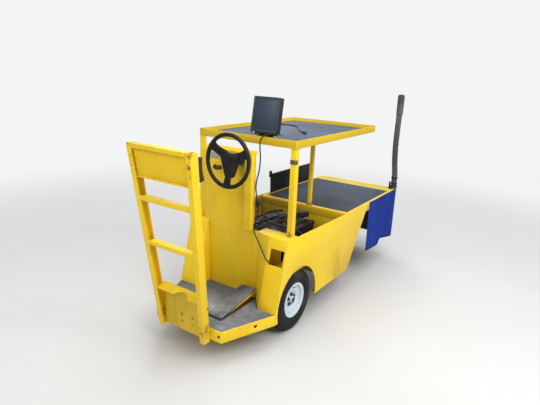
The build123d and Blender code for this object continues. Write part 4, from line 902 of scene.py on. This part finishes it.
# Steering wheel
def makeSteeringWheel():
    wheel = {"middle": at(-0.267, -0.012, 1.115), "tilt": 3.0, "radius": 0.156, "grip": 0.0125, "dish": 0.042,
             "steps": 96, "around": 20, "bump": 0.0009, "knuckles": 24, "squareSide": 0.55, "squareTop": 0.6,
             "flare": 0.004, "flareAt": 0.15}
    tilt = math.radians(wheel["tilt"])
    across, outward = Vector((0, -1, 0)), Vector((-math.cos(tilt), 0, math.sin(tilt)))
    upward = outward.cross(across)
    aim = shift(wheel["middle"]) @ Matrix((across, upward, outward)).transposed().to_4x4()
    bm, rings = bmesh.new(), []
    for i, (c, s) in enumerate(around(wheel["steps"])):
        ring, bumps = [], math.cos(2 * math.pi * i / wheel["steps"] * wheel["knuckles"])
        for ahead, aside in around(wheel["around"]):
            # finger bumps on the back of the grip
            thick = wheel["grip"] + wheel["bump"] * max(0.0, -aside) * bumps
            reach = wheel["radius"] + thick * ahead
            ring.append(bm.verts.new((reach * c, reach * s, thick * aside)))
        rings.append(ring)
    loft(bm, rings, True)
    # spokes: distance from the middle, half width, height of the upper face, thickness
    sections = ((0.030, 0.034, -0.020, 0.018), (0.060, 0.031, -0.017, 0.017), (0.085, 0.0265, -0.010, 0.015),
                (0.108, 0.0250, -0.002, 0.013), (0.132, 0.0275, 0.003, 0.012), (0.150, 0.0340, 0.004, 0.011))
    for degrees, wide in ((147.0, 1.0), (23.0, 1.0), (270.0, 0.9)):
        spoke, rows = bmesh.new(), []
        for reach, halfWidth, top, thick in sections:
            row, half = [], halfWidth * wide
            for c, s in around(16):
                side = half * math.copysign(abs(c) ** wheel["squareSide"], c)
                level = top - thick / 2 + thick / 2 * math.copysign(abs(s) ** wheel["squareTop"], s)
                bend = wheel["flare"] * (side / half) ** 2 * (reach / wheel["flareAt"]) ** 4
                row.append(spoke.verts.new((reach - bend, side, level)))
            rows.append(row)
        loft(spoke, rows)
        joinInto(bm, spoke, rotated(degrees, "Z"))
    pad = [(-0.078, 0.042), (-0.040, 0.047), (0.040, 0.047), (0.078, 0.042), (0.068, 0.004), (0.049, -0.046),
           (0.029, -0.104), (-0.029, -0.104), (-0.049, -0.046), (-0.068, 0.004)]
    # the pad's levels: height over the dish, share of its outline
    layers = ((0.000, 0.90), (0.006, 0.98), (0.018, 1.0), (0.030, 0.96), (0.036, 0.88), (0.0395, 0.72),
              (0.041, 0.40))
    crown, rows, outline = bmesh.new(), [], rounded(pad, 0.016, True, 5)
    for height, share in layers:
        rows.append([crown.verts.new((p.x * share, p.y * share, height - wheel["dish"])) for p in outline])
    loft(crown, rows)
    joinInto(bm, crown)
    boss = [(0.0, -0.004), (0.019, -0.004), (0.020, -0.006), (0.020, -0.012)]
    joinInto(bm, lathe(boss, 32), shift(0, -0.004, 0.005))
    for x, y in ((-0.056, 0.026), (0.056, 0.026), (0.0, -0.064)):
        joinInto(bm, hexBolt(0.006, False), shift(x, y, -0.014), 1)
    shaft = [(0.0, 0.0), (0.011, 0.0), (0.011, -0.122), (0.0, -0.122)]
    joinInto(bm, lathe(shaft, 32), shift(0, 0, 0.001 - wheel["dish"]), 2)
    collar = [(0.016, 0.0), (0.016, -0.012), (0.011, -0.014)]
    joinInto(bm, lathe(collar, 32), shift(0, 0, 0.0005 - wheel["dish"]), 2)
    bmesh.ops.transform(bm, matrix=aim, verts=bm.verts)
    place("steeringWheel", bm, [wheelPlastic, zincBolt, hubSteel], ["steering_wheel"], "black_plastic", 40.0,
          "steering")


makeSteeringWheel()
print("steering wheel made")


# Steel, castings and mouldings that keep the form of their solids, with their edges broken
def makeDressed():
    # node, how far its edges are rounded, finish, slot
    dress((("chassis_rails", 0.0016, blackSteel, "black_steel"),
           ("drive_axle", 0.0020, blackSteel, "black_steel"),
           ("drive_motor", 0.0016, castHousing, "motor_grey"),
           ("steer_fork", 0.0020, blackSteel, "black_steel"),
           ("front_apron", 0.0010, blackPlastic, "black_plastic"),
           ("side_board", 0.0022, boardPlastic, "black_plastic"),
           ("steering_column", 0.0016, blackSteel, "black_steel"),
           ("pole_bracket", 0.0012, blackSteel, "black_steel"),
           ("display_cradle", 0.0022, blackPlastic, "black_plastic"),
           ("key_switch", 0.0010, hubSteel, "black_plastic"),
           ("battery_connector", 0.0016, blackPlastic, "black_plastic"),
           ("foot_pedal", 0.0010, pedalSteel, "grey_mat")))


makeDressed()


# Cloth and padding settle in a short simulation
def settle(obj, frames, cap, pinned, **settings):
    group = obj.vertex_groups.new(name="held")
    group.add(pinned, 1.0, "REPLACE")
    start = [v.co.copy() for v in obj.data.vertices]
    modifier = obj.modifiers.new("settle", "CLOTH")
    modifier.settings.vertex_group_mass = "held"
    modifier.settings.effector_weights.gravity = settings.pop("gravity", 1.0)
    for key, value in settings.items():
        setattr(modifier.settings, key, value)
    modifier.collision_settings.use_collision = False
    modifier.collision_settings.use_self_collision = False
    modifier.point_cache.frame_start, modifier.point_cache.frame_end = 1, frames
    scene = bpy.context.scene
    for moment in range(1, frames + 1):
        scene.frame_set(moment)
    view = bpy.context.evaluated_depsgraph_get()
    settled = [v.co.copy() for v in obj.evaluated_get(view).data.vertices]
    obj.modifiers.remove(modifier)
    obj.vertex_groups.remove(group)
    scene.frame_set(1)
    for v, before, after in zip(obj.data.vertices, start, settled):
        step = after - before
        v.co = before + (step if step.length <= cap else step.normalized() * cap)
    obj.data.update()


def grown(obj, kind, **settings):
    # applies one modifier and keeps its mesh
    modifier = obj.modifiers.new("grown", kind)
    for key, value in settings.items():
        setattr(modifier, key, value)
    mesh = bpy.data.meshes.new_from_object(obj.evaluated_get(bpy.context.evaluated_depsgraph_get()))
    obj.modifiers.remove(modifier)
    for old in obj.data.materials:
        if old.name not in [m.name for m in mesh.materials if m]:
            mesh.materials.append(old)
    obj.data = mesh


def makeClothSheet():
    cloth = {"rear": 1.0965, "front": 1.7205, "top": 0.6395, "rail": -0.3896, "gather": 1.006, "folds": 2.1,
             "columns": 96, "rows": 64, "frames": 34, "drift": 0.0045, "floor": 0.1765, "hem": 0.014,
             "hemThick": 0.0016, "samples": 200}
    # the lower edge: share of the way along the rail, level
    hem = ((0.0, 0.2143), (0.054, 0.2118), (0.435, 0.1901), (0.525, 0.2362), (1.0, 0.1760))

    def hemAt(share):
        for (a, low), (b, high) in zip(hem, hem[1:]):
            if share <= b:
                return low + (high - low) * (share - a) / (b - a)
        return hem[-1][1]

    run = cloth["front"] - cloth["rear"]
    depth = run * math.sqrt(4 * (cloth["gather"] - 1.0)) / (2 * math.pi * cloth["folds"])
    bm, grid = bmesh.new(), []
    for row in range(cloth["rows"] + 1):
        down, line = row / cloth["rows"], []
        for column in range(cloth["columns"] + 1):
            along = column / cloth["columns"]
            bend = 1.0 - math.cos(2 * math.pi * cloth["folds"] * along + 0.7 * math.sin(5.0 * along))
            drift = cloth["drift"] * down * (1.0 + noiseAt(Vector((along * 2.3, down * 1.4, 4.0))))
            out = cloth["rail"] - depth * bend * (0.25 + 0.75 * down) - drift
            spot = at(cloth["rear"] + run * along, out, cloth["top"] - (cloth["top"] - hemAt(along)) * down)
            line.append(bm.verts.new(spot))
        grid.append(line)
    for upper, lower in zip(grid, grid[1:]):
        for column in range(cloth["columns"]):
            bm.faces.new((upper[column], upper[column + 1], lower[column + 1], lower[column]))
    obj = place("blueCloth", bm, blueCloth, ["blue_cloth"], "blue_cloth", 80.0)
    settle(obj, cloth["frames"], 0.03, list(range(2 * (cloth["columns"] + 1))), quality=7, mass=0.35,
           tension_stiffness=30.0, compression_stiffness=30.0, shear_stiffness=12.0,
           bending_stiffness=1.2, air_damping=3.0)
    corner = at(cloth["front"], cloth["rail"], cloth["floor"])
    for v in obj.data.vertices:
        v.co.y = min(v.co.y, corner.y)
        v.co.z = max(v.co.z, corner.z)
        v.co.x = min(max(v.co.x, cadLow.x), corner.x)
    shares = [(i + 0.5) / cloth["samples"] for i in range(cloth["samples"])]
    area = sum(run / cloth["samples"] * (cloth["top"] - hemAt(share)) for share in shares) * cloth["gather"]
    grown(obj, "SUBSURF", levels=1, render_levels=1)

    def columnAt(x):
        return round((x - at(cloth["rear"], 0, 0).x) / run * cloth["columns"])

    # the lower edge is turned up and sewn
    strip, lowest = bmesh.new(), {}
    strip.from_mesh(obj.data)
    for v in strip.verts:
        column = columnAt(v.co.x)
        lowest[column] = min(lowest.get(column, math.inf), v.co.z)
    above = []
    for f in strip.faces:
        middle = f.calc_center_median()
        near = [lowest.get(columnAt(middle.x) + k, math.inf) for k in (-1, 0, 1)]
        if middle.z > cloth["hem"] + min(near):
            above.append(f)
    bmesh.ops.delete(strip, geom=above, context="FACES")
    for v in strip.verts:
        v.co.z = max(v.co.z, corner.z)
    bmesh.ops.solidify(strip, geom=strip.faces[:], thickness=cloth["hemThick"])
    hemPiece = place("clothHem", strip, blueCloth, (), "blue_cloth", 60.0)


def inflated(name, bm, finish, node, slot, pinned, cap, pressure):
    # pinned: a test on a point that keeps its place
    obj = place(name, bm, finish, [node], slot, 80.0)
    grown(obj, "REMESH", mode="VOXEL", voxel_size=0.006)
    held = [v.index for v in obj.data.vertices if pinned(v.co)]
    settle(obj, 20, cap, held, gravity=0.0, quality=5, mass=0.3, use_pressure=True,
           uniform_pressure_force=pressure, tension_stiffness=15.0, compression_stiffness=15.0,
           bending_stiffness=0.6)
    grown(obj, "SUBSURF", levels=1, render_levels=1)
    return obj


def makeBackPad():
    low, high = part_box("back_pad")
    pad = {"inset": 0.005, "flatter": 0.6, "edge": 0.007, "glued": 0.008, "seam": 0.030, "seamHalf": 0.0034,
           "groove": 0.0022, "halfWidth": 0.224, "halfHeight": 0.070}
    source = solid("back_pad")
    middle = (low + high) / 2
    for v in source.verts:
        for axis in range(3):
            side = 1 if v.co[axis] > middle[axis] else -1
            v.co[axis] -= side * pad["inset"] * (pad["flatter"] if axis == 0 else 1.0)
    bevel(source, sharpEdges(source, 34), pad["edge"], 3)

    def depthAt(p):
        # distance ahead of the pad's rear face, which leans with the ladder
        return p.x - (low.x + (high.z - p.z) * ladder["lean"])

    obj = inflated("backPad", source, blackVinyl, "back_pad", "black_pad",
                   lambda p: depthAt(p) < pad["glued"], 0.008, 4.0)
    for v in obj.data.vertices:
        away = abs(depthAt(v.co) - pad["seam"])
        if away < pad["seamHalf"]:
            pull = pad["groove"] * (1.0 - (away / pad["seamHalf"]) ** 2)
            out = Vector((0, v.co.y - middle.y, v.co.z - middle.z))
            if abs(out.y) / pad["halfWidth"] > abs(out.z) / pad["halfHeight"]:
                v.co.y -= math.copysign(pull, out.y)
            else:
                v.co.z -= math.copysign(pull, out.z)
        for axis in range(3):
            v.co[axis] = min(max(v.co[axis], low[axis]), high[axis])


def makeCornerPole():
    pole = {"radius": 0.0252, "wide": 0.0292, "steps": 28, "levels": 150, "sleeve": 0.170, "seat": 0.0285,
            "height": 0.8380, "taper": 0.006, "tip": 0.012, "ripple": 0.0008}
    foot, top = poleFoot, poleFoot.z + pole["height"]
    # each bend: distance towards the centre, rise above the deck
    bends = ((0.0, pole["seat"]), (0.0, 0.120), (0.017, 0.260), (0.025, 0.410), (0.024, 0.560),
             (0.022, 0.690), (0.022, pole["height"]))
    path = rounded([(foot.x, foot.y + inward, foot.z + rise) for inward, rise in bends], 0.05, False, 6)

    def radiusAt(z):
        reach = pole["radius"]
        if z > top - pole["sleeve"]:
            reach = pole["wide"]
        return reach - pole["taper"] * max(0.0, 1.0 - (top - z) / pole["tip"])

    lengths = [0.0]
    for a, b in zip(path, path[1:]):
        lengths.append(lengths[-1] + (b - a).length)
    bm, rings = bmesh.new(), []
    for i in range(pole["levels"] + 1):
        want = lengths[-1] * i / pole["levels"]
        k = max(j for j in range(len(path) - 1) if lengths[j] <= want + 1e-9)
        spot = path[k].lerp(path[k + 1], (want - lengths[k]) / max(lengths[k + 1] - lengths[k], 1e-9))
        reach = radiusAt(spot.z)
        rings.append([bm.verts.new((spot.x + reach * c, spot.y + reach * s, spot.z))
                      for c, s in around(pole["steps"])])
    loft(bm, rings)
    ties = [foot.z + rise for rise in (0.034, 0.118, 0.235, 0.365, 0.50, 0.645, 0.676, 0.832)]
    obj = inflated("cornerPole", bm, poleCover, "corner_pole", "black_pad",
                   lambda p: min(abs(p.z - z) for z in ties) < 0.004, 0.0024, 3.0)
    for v in obj.data.vertices:
        ripple = noiseAt(Vector((v.co.x * 18, v.co.y * 18, v.co.z * 34)))
        v.co.x += pole["ripple"] * ripple
        v.co.y -= pole["ripple"] * ripple
        v.co.z = min(max(v.co.z, foot.z + pole["seat"]), cadHigh.z)


makeClothSheet()
makeBackPad()
makeCornerPole()
print("cloth and padding settled")


# Display on the tray, whose box leans back
displayFoot = at(-0.058, -0.111, 1.278)
displayAim = shift(displayFoot) @ rotated(9.0, "Y")


def makeDisplay():
    box = {"thick": 0.052, "width": 0.190, "height": 0.214, "face": 0.0105, "rim": 0.013, "rimDeep": 0.012,
           "panel": 0.006, "sink": 0.0035, "screw": 0.0075, "slots": 9, "slotPitch": 0.009}
    w, h, rim, deep, behind = (box[k] for k in ("width", "height", "rim", "rimDeep", "face"))
    shell = box["thick"] - behind
    bm = bmesh.new()
    joinInto(bm, block((shell, w, h), 0.006, 4), displayAim @ shift(behind + shell / 2, 0, h / 2))
    # the bezel is a frame round a sunken panel
    for y, z, size in ((0, rim / 2, (deep, w, rim)), (0, h - rim / 2, (deep, w, rim)),
                       (w / 2 - rim / 2, h / 2, (deep, rim, h - 0.002)),
                       (rim / 2 - w / 2, h / 2, (deep, rim, h - 0.002))):
        joinInto(bm, block(size, 0.0025, 3), displayAim @ shift(deep / 2, y, z), 1)
    joinInto(bm, block((box["panel"], w - 0.020, h - 0.020), 0.001),
             displayAim @ shift(box["sink"] + box["panel"] / 2, 0, h / 2), 2)
    for y in (-w / 2 + box["screw"], w / 2 - box["screw"]):
        for z in (box["screw"], h - box["screw"]):
            joinInto(bm, hexBolt(0.005, False), displayAim @ shift(0.0012, y, z) @ rotated(-90, "Y"), 3)
    for i in range(box["slots"]):
        joinInto(bm, block((0.026, 0.0016, 0.0034), 0.0006),
                 displayAim @ shift(box["thick"] * 0.58, -w / 2 - 0.0002, 0.050 + i * box["slotPitch"]), 4)
    # two ridges across the back
    for z in (0.030, 0.184):
        joinInto(bm, block((0.004, w * 0.86, 0.008), 0.0015), displayAim @ shift(box["thick"] - 0.0012, 0, z))
    place("displayBox", bm, [screenGlass, slatePlastic, displayFace, zincBolt, blackPlastic],
          ["display_box"], "slate_plastic", 34.0)


def makeCradleTrim():
    trim = {"button": (-0.0030, 0.064, -0.0055), "ear": 0.072, "ledge": (0.026, -0.006, -0.0030),
            "bolts": 1.2362}
    bm = bmesh.new()
    joinInto(bm, lathe([(0.0, 0.003), (0.0042, 0.003), (0.0050, 0.002), (0.0055, 0.0)], 20),
             displayAim @ shift(*trim["button"]) @ rotated(-90, "Y"), 1)
    for y in (-trim["ear"], trim["ear"]):
        joinInto(bm, block((0.058, 0.006, 0.016), 0.0025, 3), displayAim @ shift(0.026, y, -0.0045))
    joinInto(bm, block((0.062, 0.205, 0.005), 0.0020, 3), displayAim @ shift(*trim["ledge"]))
    base = Vector((*displayFoot.xy, trim["bolts"]))
    for dx in (0.002, 0.050):
        for dy in (-0.058, 0.058):
            joinInto(bm, hexBolt(0.010), shift(base + Vector((dx, dy, 0))), 2)
    place("cradleTrim", bm, [blackPlastic, paleButton, zincBolt])


# Battery bay
def makeBatteries():
    case = {"length": 0.262, "width": 0.181, "height": 0.252, "gap": 0.006, "rear": 0.030, "floor": 0.320,
            "lid": 0.028, "draw": 0.004, "rib": 0.006, "ribDeep": 0.004, "ribOut": 0.0016, "pitch": 0.028}
    length, width, height, draw = (case[k] for k in ("length", "width", "height", "draw"))
    body = height - case["lid"] - 0.002
    cap = [(0.0, 0.0196), (0.0085, 0.0196), (0.0100, 0.0180), (0.0185, 0.0175), (0.0205, 0.0150),
           (0.0205, 0.006)]
    post = [(0.0, 0.018), (0.0075, 0.018), (0.0082, 0.017), (0.0090, 0.0), (0.013, 0.0), (0.013, -0.001)]
    bm = bmesh.new()

    def add(part, spot, finish=0, spin=0.0):
        joinInto(bm, part, shift(spot) @ Matrix.Rotation(spin, 4, "Z"), finish)

    for column in range(2):
        for side in (-1, 1):
            middle = at(case["rear"] + length / 2 + column * (length + case["gap"]),
                        side * (width + case["gap"]) / 2, case["floor"])
            add(block((length - 2 * draw, width - 2 * draw, body), 0.006, 3),
                middle + Vector((0, 0, body / 2)))
            add(block((length, width, case["lid"]), 0.0035, 3),
                middle + Vector((0, 0, height - case["lid"] / 2)))
            for i in range(9):
                for out in (-1, 1):
                    add(block((case["rib"], case["ribDeep"], body - 0.03), 0.0012), middle + Vector(
                        ((i - 4) * case["pitch"], out * (width / 2 - draw + case["ribOut"]), body / 2)))
            for i in range(6):
                for out in (-1, 1):
                    add(block((case["ribDeep"], case["rib"], body - 0.03), 0.0012), middle + Vector(
                        (out * (length / 2 - draw + case["ribOut"]), (i - 2.5) * case["pitch"], body / 2)))
            top = middle + Vector((0, 0, height))
            add(block((0.170, 0.050, 0.008), 0.002), top + Vector((0, 0, 0.003)), 1)
            for dx in (-0.056, 0.0, 0.056):
                add(lathe(cap, 24), top + Vector((dx, 0, 0)), 1)
                add(block((0.030, 0.0035, 0.0035), 0.001), top + Vector((dx, 0, 0.0182)), 1, 0.5 + dx * 20)
            for dx in (-0.105, 0.105):
                add(lathe(post, 24), top + Vector((dx, 0, 0)), 2)
            add(block((0.090, 0.003, 0.012), 0.001), top + Vector((0, -side * 0.066, 0.0002)))
    place("batteryPack", bm, [batteryCase, capPlastic, leadMetal], ["battery_pack"],
          "black_plastic", 34.0)


def makeBayFittings():
    bm = bmesh.new()
    # nuts on the cable lugs, and the screws and ribs of the plug block
    nuts = [(x, y, 0.598) for y in (-0.0935, 0.0935) for x in (0.266, 0.324)]
    nuts += [(0.056, -0.0935, 0.598), (0.056, 0.0935, 0.598), (0.534, 0.0935, 0.604)]
    for nut in nuts:
        joinInto(bm, hexBolt(0.011, False), shift(at(*nut)), 1)
    aim = shift(at(0.514, -0.080, 0.6323)) @ rotated(-40, "Z")
    for dx in (-0.048, 0.048):
        joinInto(bm, hexBolt(0.008), aim @ shift(dx, 0, 0), 1)
    for i in range(7):
        joinInto(bm, block((0.003, 0.040, 0.0016), 0.0005), aim @ shift(-0.024 + i * 0.008, 0, 0.0004))
    place("bayFittings", bm, [blackPlastic, leadMetal])


def makeBayPlates():
    # a stop behind the batteries, seen through the square port, and the plate under the deck's rear rail
    table = ((at(0.021, -0.160, 0.440), (0.003, 0.150, 0.230)),
             (at(0.6785, 0.0, 0.5135), (0.003, 0.770, 0.122)))
    bm = bmesh.new()
    for middle, size in table:
        joinInto(bm, block(size, 0.0008), shift(middle))
    place("bayPlates", bm, yellowPaint, (), "yellow_paint")


# Cover strip over the front end of the deck mat
def makeDeckStrip():
    strip = {"rear": 1.577, "front": 1.7165, "half": 0.3700, "thick": 0.0014, "screws": 9, "pitch": 0.088,
             "inset": 0.016, "sunk": 0.002}
    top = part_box("deck_mat")[1].z
    length = strip["front"] - strip["rear"]
    bm = bmesh.new()
    joinInto(bm, block((length, 2 * strip["half"], strip["thick"]), 0.0005),
             shift(at(strip["rear"] + length / 2, 0, top + strip["thick"] / 2)))
    for i in range(strip["screws"]):
        joinInto(bm, hexBolt(0.006, False), shift(at(strip["rear"] + strip["inset"], (i - 4) * strip["pitch"],
                                                     top + strip["thick"] - strip["sunk"])))
    place("deckStrip", bm, dullYellow, (), "yellow_paint")


# Foot pedal cover
def makePedalCover():
    pedal = {"rear": -0.500, "front": -0.156, "low": 0.223, "rise": 0.062, "left": -0.056, "right": -0.172,
             "thick": 0.0045, "edge": 0.0040, "ribPitch": 0.0125}
    run, thick = pedal["front"] - pedal["rear"], pedal["thick"]
    length = math.hypot(pedal["rise"], run) - 2 * pedal["edge"]
    width = pedal["left"] - pedal["right"] - 2 * pedal["edge"]
    middle = at((pedal["rear"] + pedal["front"]) / 2, (pedal["left"] + pedal["right"]) / 2,
                pedal["low"] + pedal["rise"] / 2)
    aim = shift(middle) @ Matrix.Rotation(-math.atan2(pedal["rise"], run), 4, "Y")
    bm = bmesh.new()
    joinInto(bm, block((length, width, thick), 0.0012), aim @ shift(0, 0, thick / 2))
    count = int(length / pedal["ribPitch"])
    for i in range(count):
        joinInto(bm, block((0.0050, width - 0.010, 0.0022), 0.0009),
                 aim @ shift((i - (count - 1) / 2) * pedal["ribPitch"], 0, thick + 0.0004))
    for dx in (-length / 2 + 0.012, length / 2 - 0.012):
        for dy in (-width / 2 + 0.010, width / 2 - 0.010):
            joinInto(bm, hexBolt(0.008), aim @ shift(dx, dy, thick), 1)
    place("pedalCover", bm, [pedalMat, zincBolt], (), "grey_mat", 34.0)


# Small things on the dash, posts and sides
def makeSmallFittings():
    bm = bmesh.new()
    back = (-1, 0, 0)
    # bare plates: on the dash, and round the near post's corner
    for size, edge, middle, finish in (((0.0016, 0.078, 0.042), 0.0005, at(-0.1308, 0.206, 1.104), 1),
                                       ((0.0022, 0.037, 0.027), 0.0006, at(-0.0868, -0.3545, 1.131), 2),
                                       ((0.020, 0.0022, 0.027), 0.0006, at(-0.0750, -0.3748, 1.131), 2)):
        joinInto(bm, block(size, edge), shift(middle), finish)
    # push button beside the lock
    button = [(0.0, 0.018), (0.009, 0.0178), (0.0115, 0.016), (0.012, 0.009), (0.015, 0.008), (0.0165, 0.0)]
    joinInto(bm, lathe(button, 32), turned(at(-0.130, 0.198, 1.030), back))
    # blanked holes: in the platform's rear edge and the right upright's side
    plug = [(0.0, 0.0008), (0.0058, 0.0008), (0.0066, 0.0)]
    joinInto(bm, lathe([(r * 1.35, h) for r, h in plug], 24), turned(at(-0.608, -0.243, 0.188), back))
    joinInto(bm, lathe(plug, 24), turned(at(-0.639, -ladderHalf(0.360), 0.360), (0, -1, 0)))
    # loop of the clamp beside the in-line connector
    clamp = {"radius": 0.0085, "wire": 0.0026}
    loop, rows = bmesh.new(), []
    for c, s in around(24):
        row = []
        for ahead, aside in around(10):
            reach = clamp["radius"] + clamp["wire"] * ahead
            row.append(loop.verts.new((reach * c, reach * s, clamp["wire"] * aside)))
        rows.append(row)
    loft(loop, rows, True)
    joinInto(bm, loop, turned(at(-0.132, -0.1675, 0.856), (-1, -0.25, 0.1)))
    # clamp and tail at the foot of the corner pole
    band = [(0.0262, -0.007), (0.0278, -0.007), (0.0278, 0.007), (0.0262, 0.007), (0.0262, -0.007)]
    for rise in (0.046, 0.098):
        joinInto(bm, lathe(band, 32), shift(poleFoot + Vector((0, 0, rise))))
    joinInto(bm, block((0.004, 0.015, 0.058), 0.001), shift(at(1.660, -0.344, 0.676)))
    place("smallFittings", bm, [blackPlastic, barePlate, dullPlate])


def circle(x, y, z, radius, count, start=0.0):
    # points evenly round a circle that faces along X
    angles = [start + 2 * math.pi * i / count for i in range(count)]
    return [at(x, y + radius * math.cos(a), z + radius * math.sin(a)) for a in angles]


def makeBolts():
    back, ahead, right, left, up = (-1, 0, 0), (1, 0, 0), (0, -1, 0), (0, 1, 0), (0, 0, 1)
    column = {"side": -0.012, "level": 1.1078}
    flange = [(p, back) for p in circle(-0.138, column["side"], column["level"], 0.031, 4, math.pi / 4)]
    cover = [(at(-0.051, column["side"] + y, column["level"] + z), ahead)
             for y in (-0.030, 0.030) for z in (-0.051, 0.023)]
    dash = [(at(-0.130, y, z), back) for y, z in ((0.243, 0.566), (0.092, 0.566), (0.089, 0.398),
                                                  (-0.060, 0.398))]
    post = [(at(-0.0857, -0.3547, 0.689), back)] + [(at(0.693, y, 0.644), up) for y in (-0.0745, -0.0355)]
    bracket = [(poleFoot + Vector((dx, dy, 0.006)), up)
               for dx, dy in ((-0.024, -0.012), (-0.024, 0.026), (0.014, 0.028))]
    board = [(at(x, 0.372, z), right) for x in (0.83, 1.03, 1.25, 1.44) for z in (0.665, 0.772)]
    apron = [(at(1.711, y, 0.560), ahead) for y in (-0.31, -0.155, 0.0, 0.155, 0.31)]
    motor = [(p, ahead) for p in circle(0.366, 0.0, wheelLevel, 0.070, 6, 0.4)]
    for name, places, size, finish in (
            ("columnBolts", flange + cover, 0.010, zincBolt), ("dashBolts", dash, 0.009, yellowPaint),
            ("postBolts", post, 0.009, zincBolt), ("bracketBolts", bracket, 0.0085, zincBolt),
            ("boardBolts", board, 0.010, blackSteel), ("apronBolts", apron, 0.010, zincBolt),
            ("motorBolts", motor, 0.009, zincBolt)):
        bolts(name, "carrier", places, size, finish)
    for name, side, way in (("forkBoltsLeft", 1, left), ("forkBoltsRight", -1, right)):
        bolts(name, "fork", [(at(1.258, side * 0.094, wheelLevel), way),
                             (at(1.266, side * 0.080, 0.438), way)], 0.018, zincBolt)


def makeMotorFins():
    motor = {"start": 0.118, "count": 12, "pitch": 0.0145, "inner": 0.0815, "outer": 0.0870, "foot": 0.0026,
             "tip": 0.0016}
    inner, outer, foot, tip = (motor[k] for k in ("inner", "outer", "foot", "tip"))
    bm = bmesh.new()
    for i in range(motor["count"]):
        joinInto(bm, lathe([(inner, -foot), (outer, -tip), (outer, tip), (inner, foot)], 56),
                 turned(at(motor["start"] + i * motor["pitch"], 0, wheelLevel), (1, 0, 0)))
    stud = [(0.0, 0.026), (0.004, 0.026), (0.004, 0.012), (0.009, 0.011), (0.010, 0.0)]
    for y in (-0.026, 0.026):
        joinInto(bm, lathe(stud, 20), turned(at(0.338, y, 0.288), (0, y * 8, 1)), 1)
    place("motorFins", bm, [castHousing, leadMetal])


def makeWelds():
    weld = {"inset": 0.0342, "rungHeight": 0.026, "rung": 0.0032, "header": 0.0172, "foot": 0.0508,
            "footShare": 0.985, "seam": 0.3890}
    back, up, runs = Vector((-1, 0, 0)), Vector((0, 0, 1)), []

    def climb(side, low, high, ahead):
        # a run between the upright and what it holds
        ends = [at(ladderX(z) + ahead, side * (ladderHalf(z) - weld["inset"]), z) for z in (low, high)]
        runs.append((*ends, back))

    for top in (0.968, 0.704):
        for side in (-1, 1):
            climb(side, top - weld["rungHeight"], top, weld["rung"])
    for side in (-1, 1):
        climb(side, 1.084, 1.230, weld["header"])
        ends = [at(ladderX(z) + weld["foot"], side * ladderHalf(z) * weld["footShare"], z)
                for z in (0.156, 0.218)]
        runs.append((*ends, Vector((0, side, 0))))
    runs.append((at(-0.630, -0.142, 0.1655), at(-0.630, 0.142, 0.1655), up))
    beadAlong("ladderWelds", runs, 0.0026)
    seams = [(*(at(x, side * weld["seam"], 0.6665) for x in (-0.140, -0.045)), up) for side in (-1, 1)]
    beadAlong("bodyWelds", seams, 0.0022)


makeDisplay()
makeCradleTrim()
makeBatteries()
makeBayFittings()
makeBayPlates()
makeDeckStrip()
makePedalCover()
makeSmallFittings()
makeBolts()
makeMotorFins()
makeWelds()
print("fittings made")
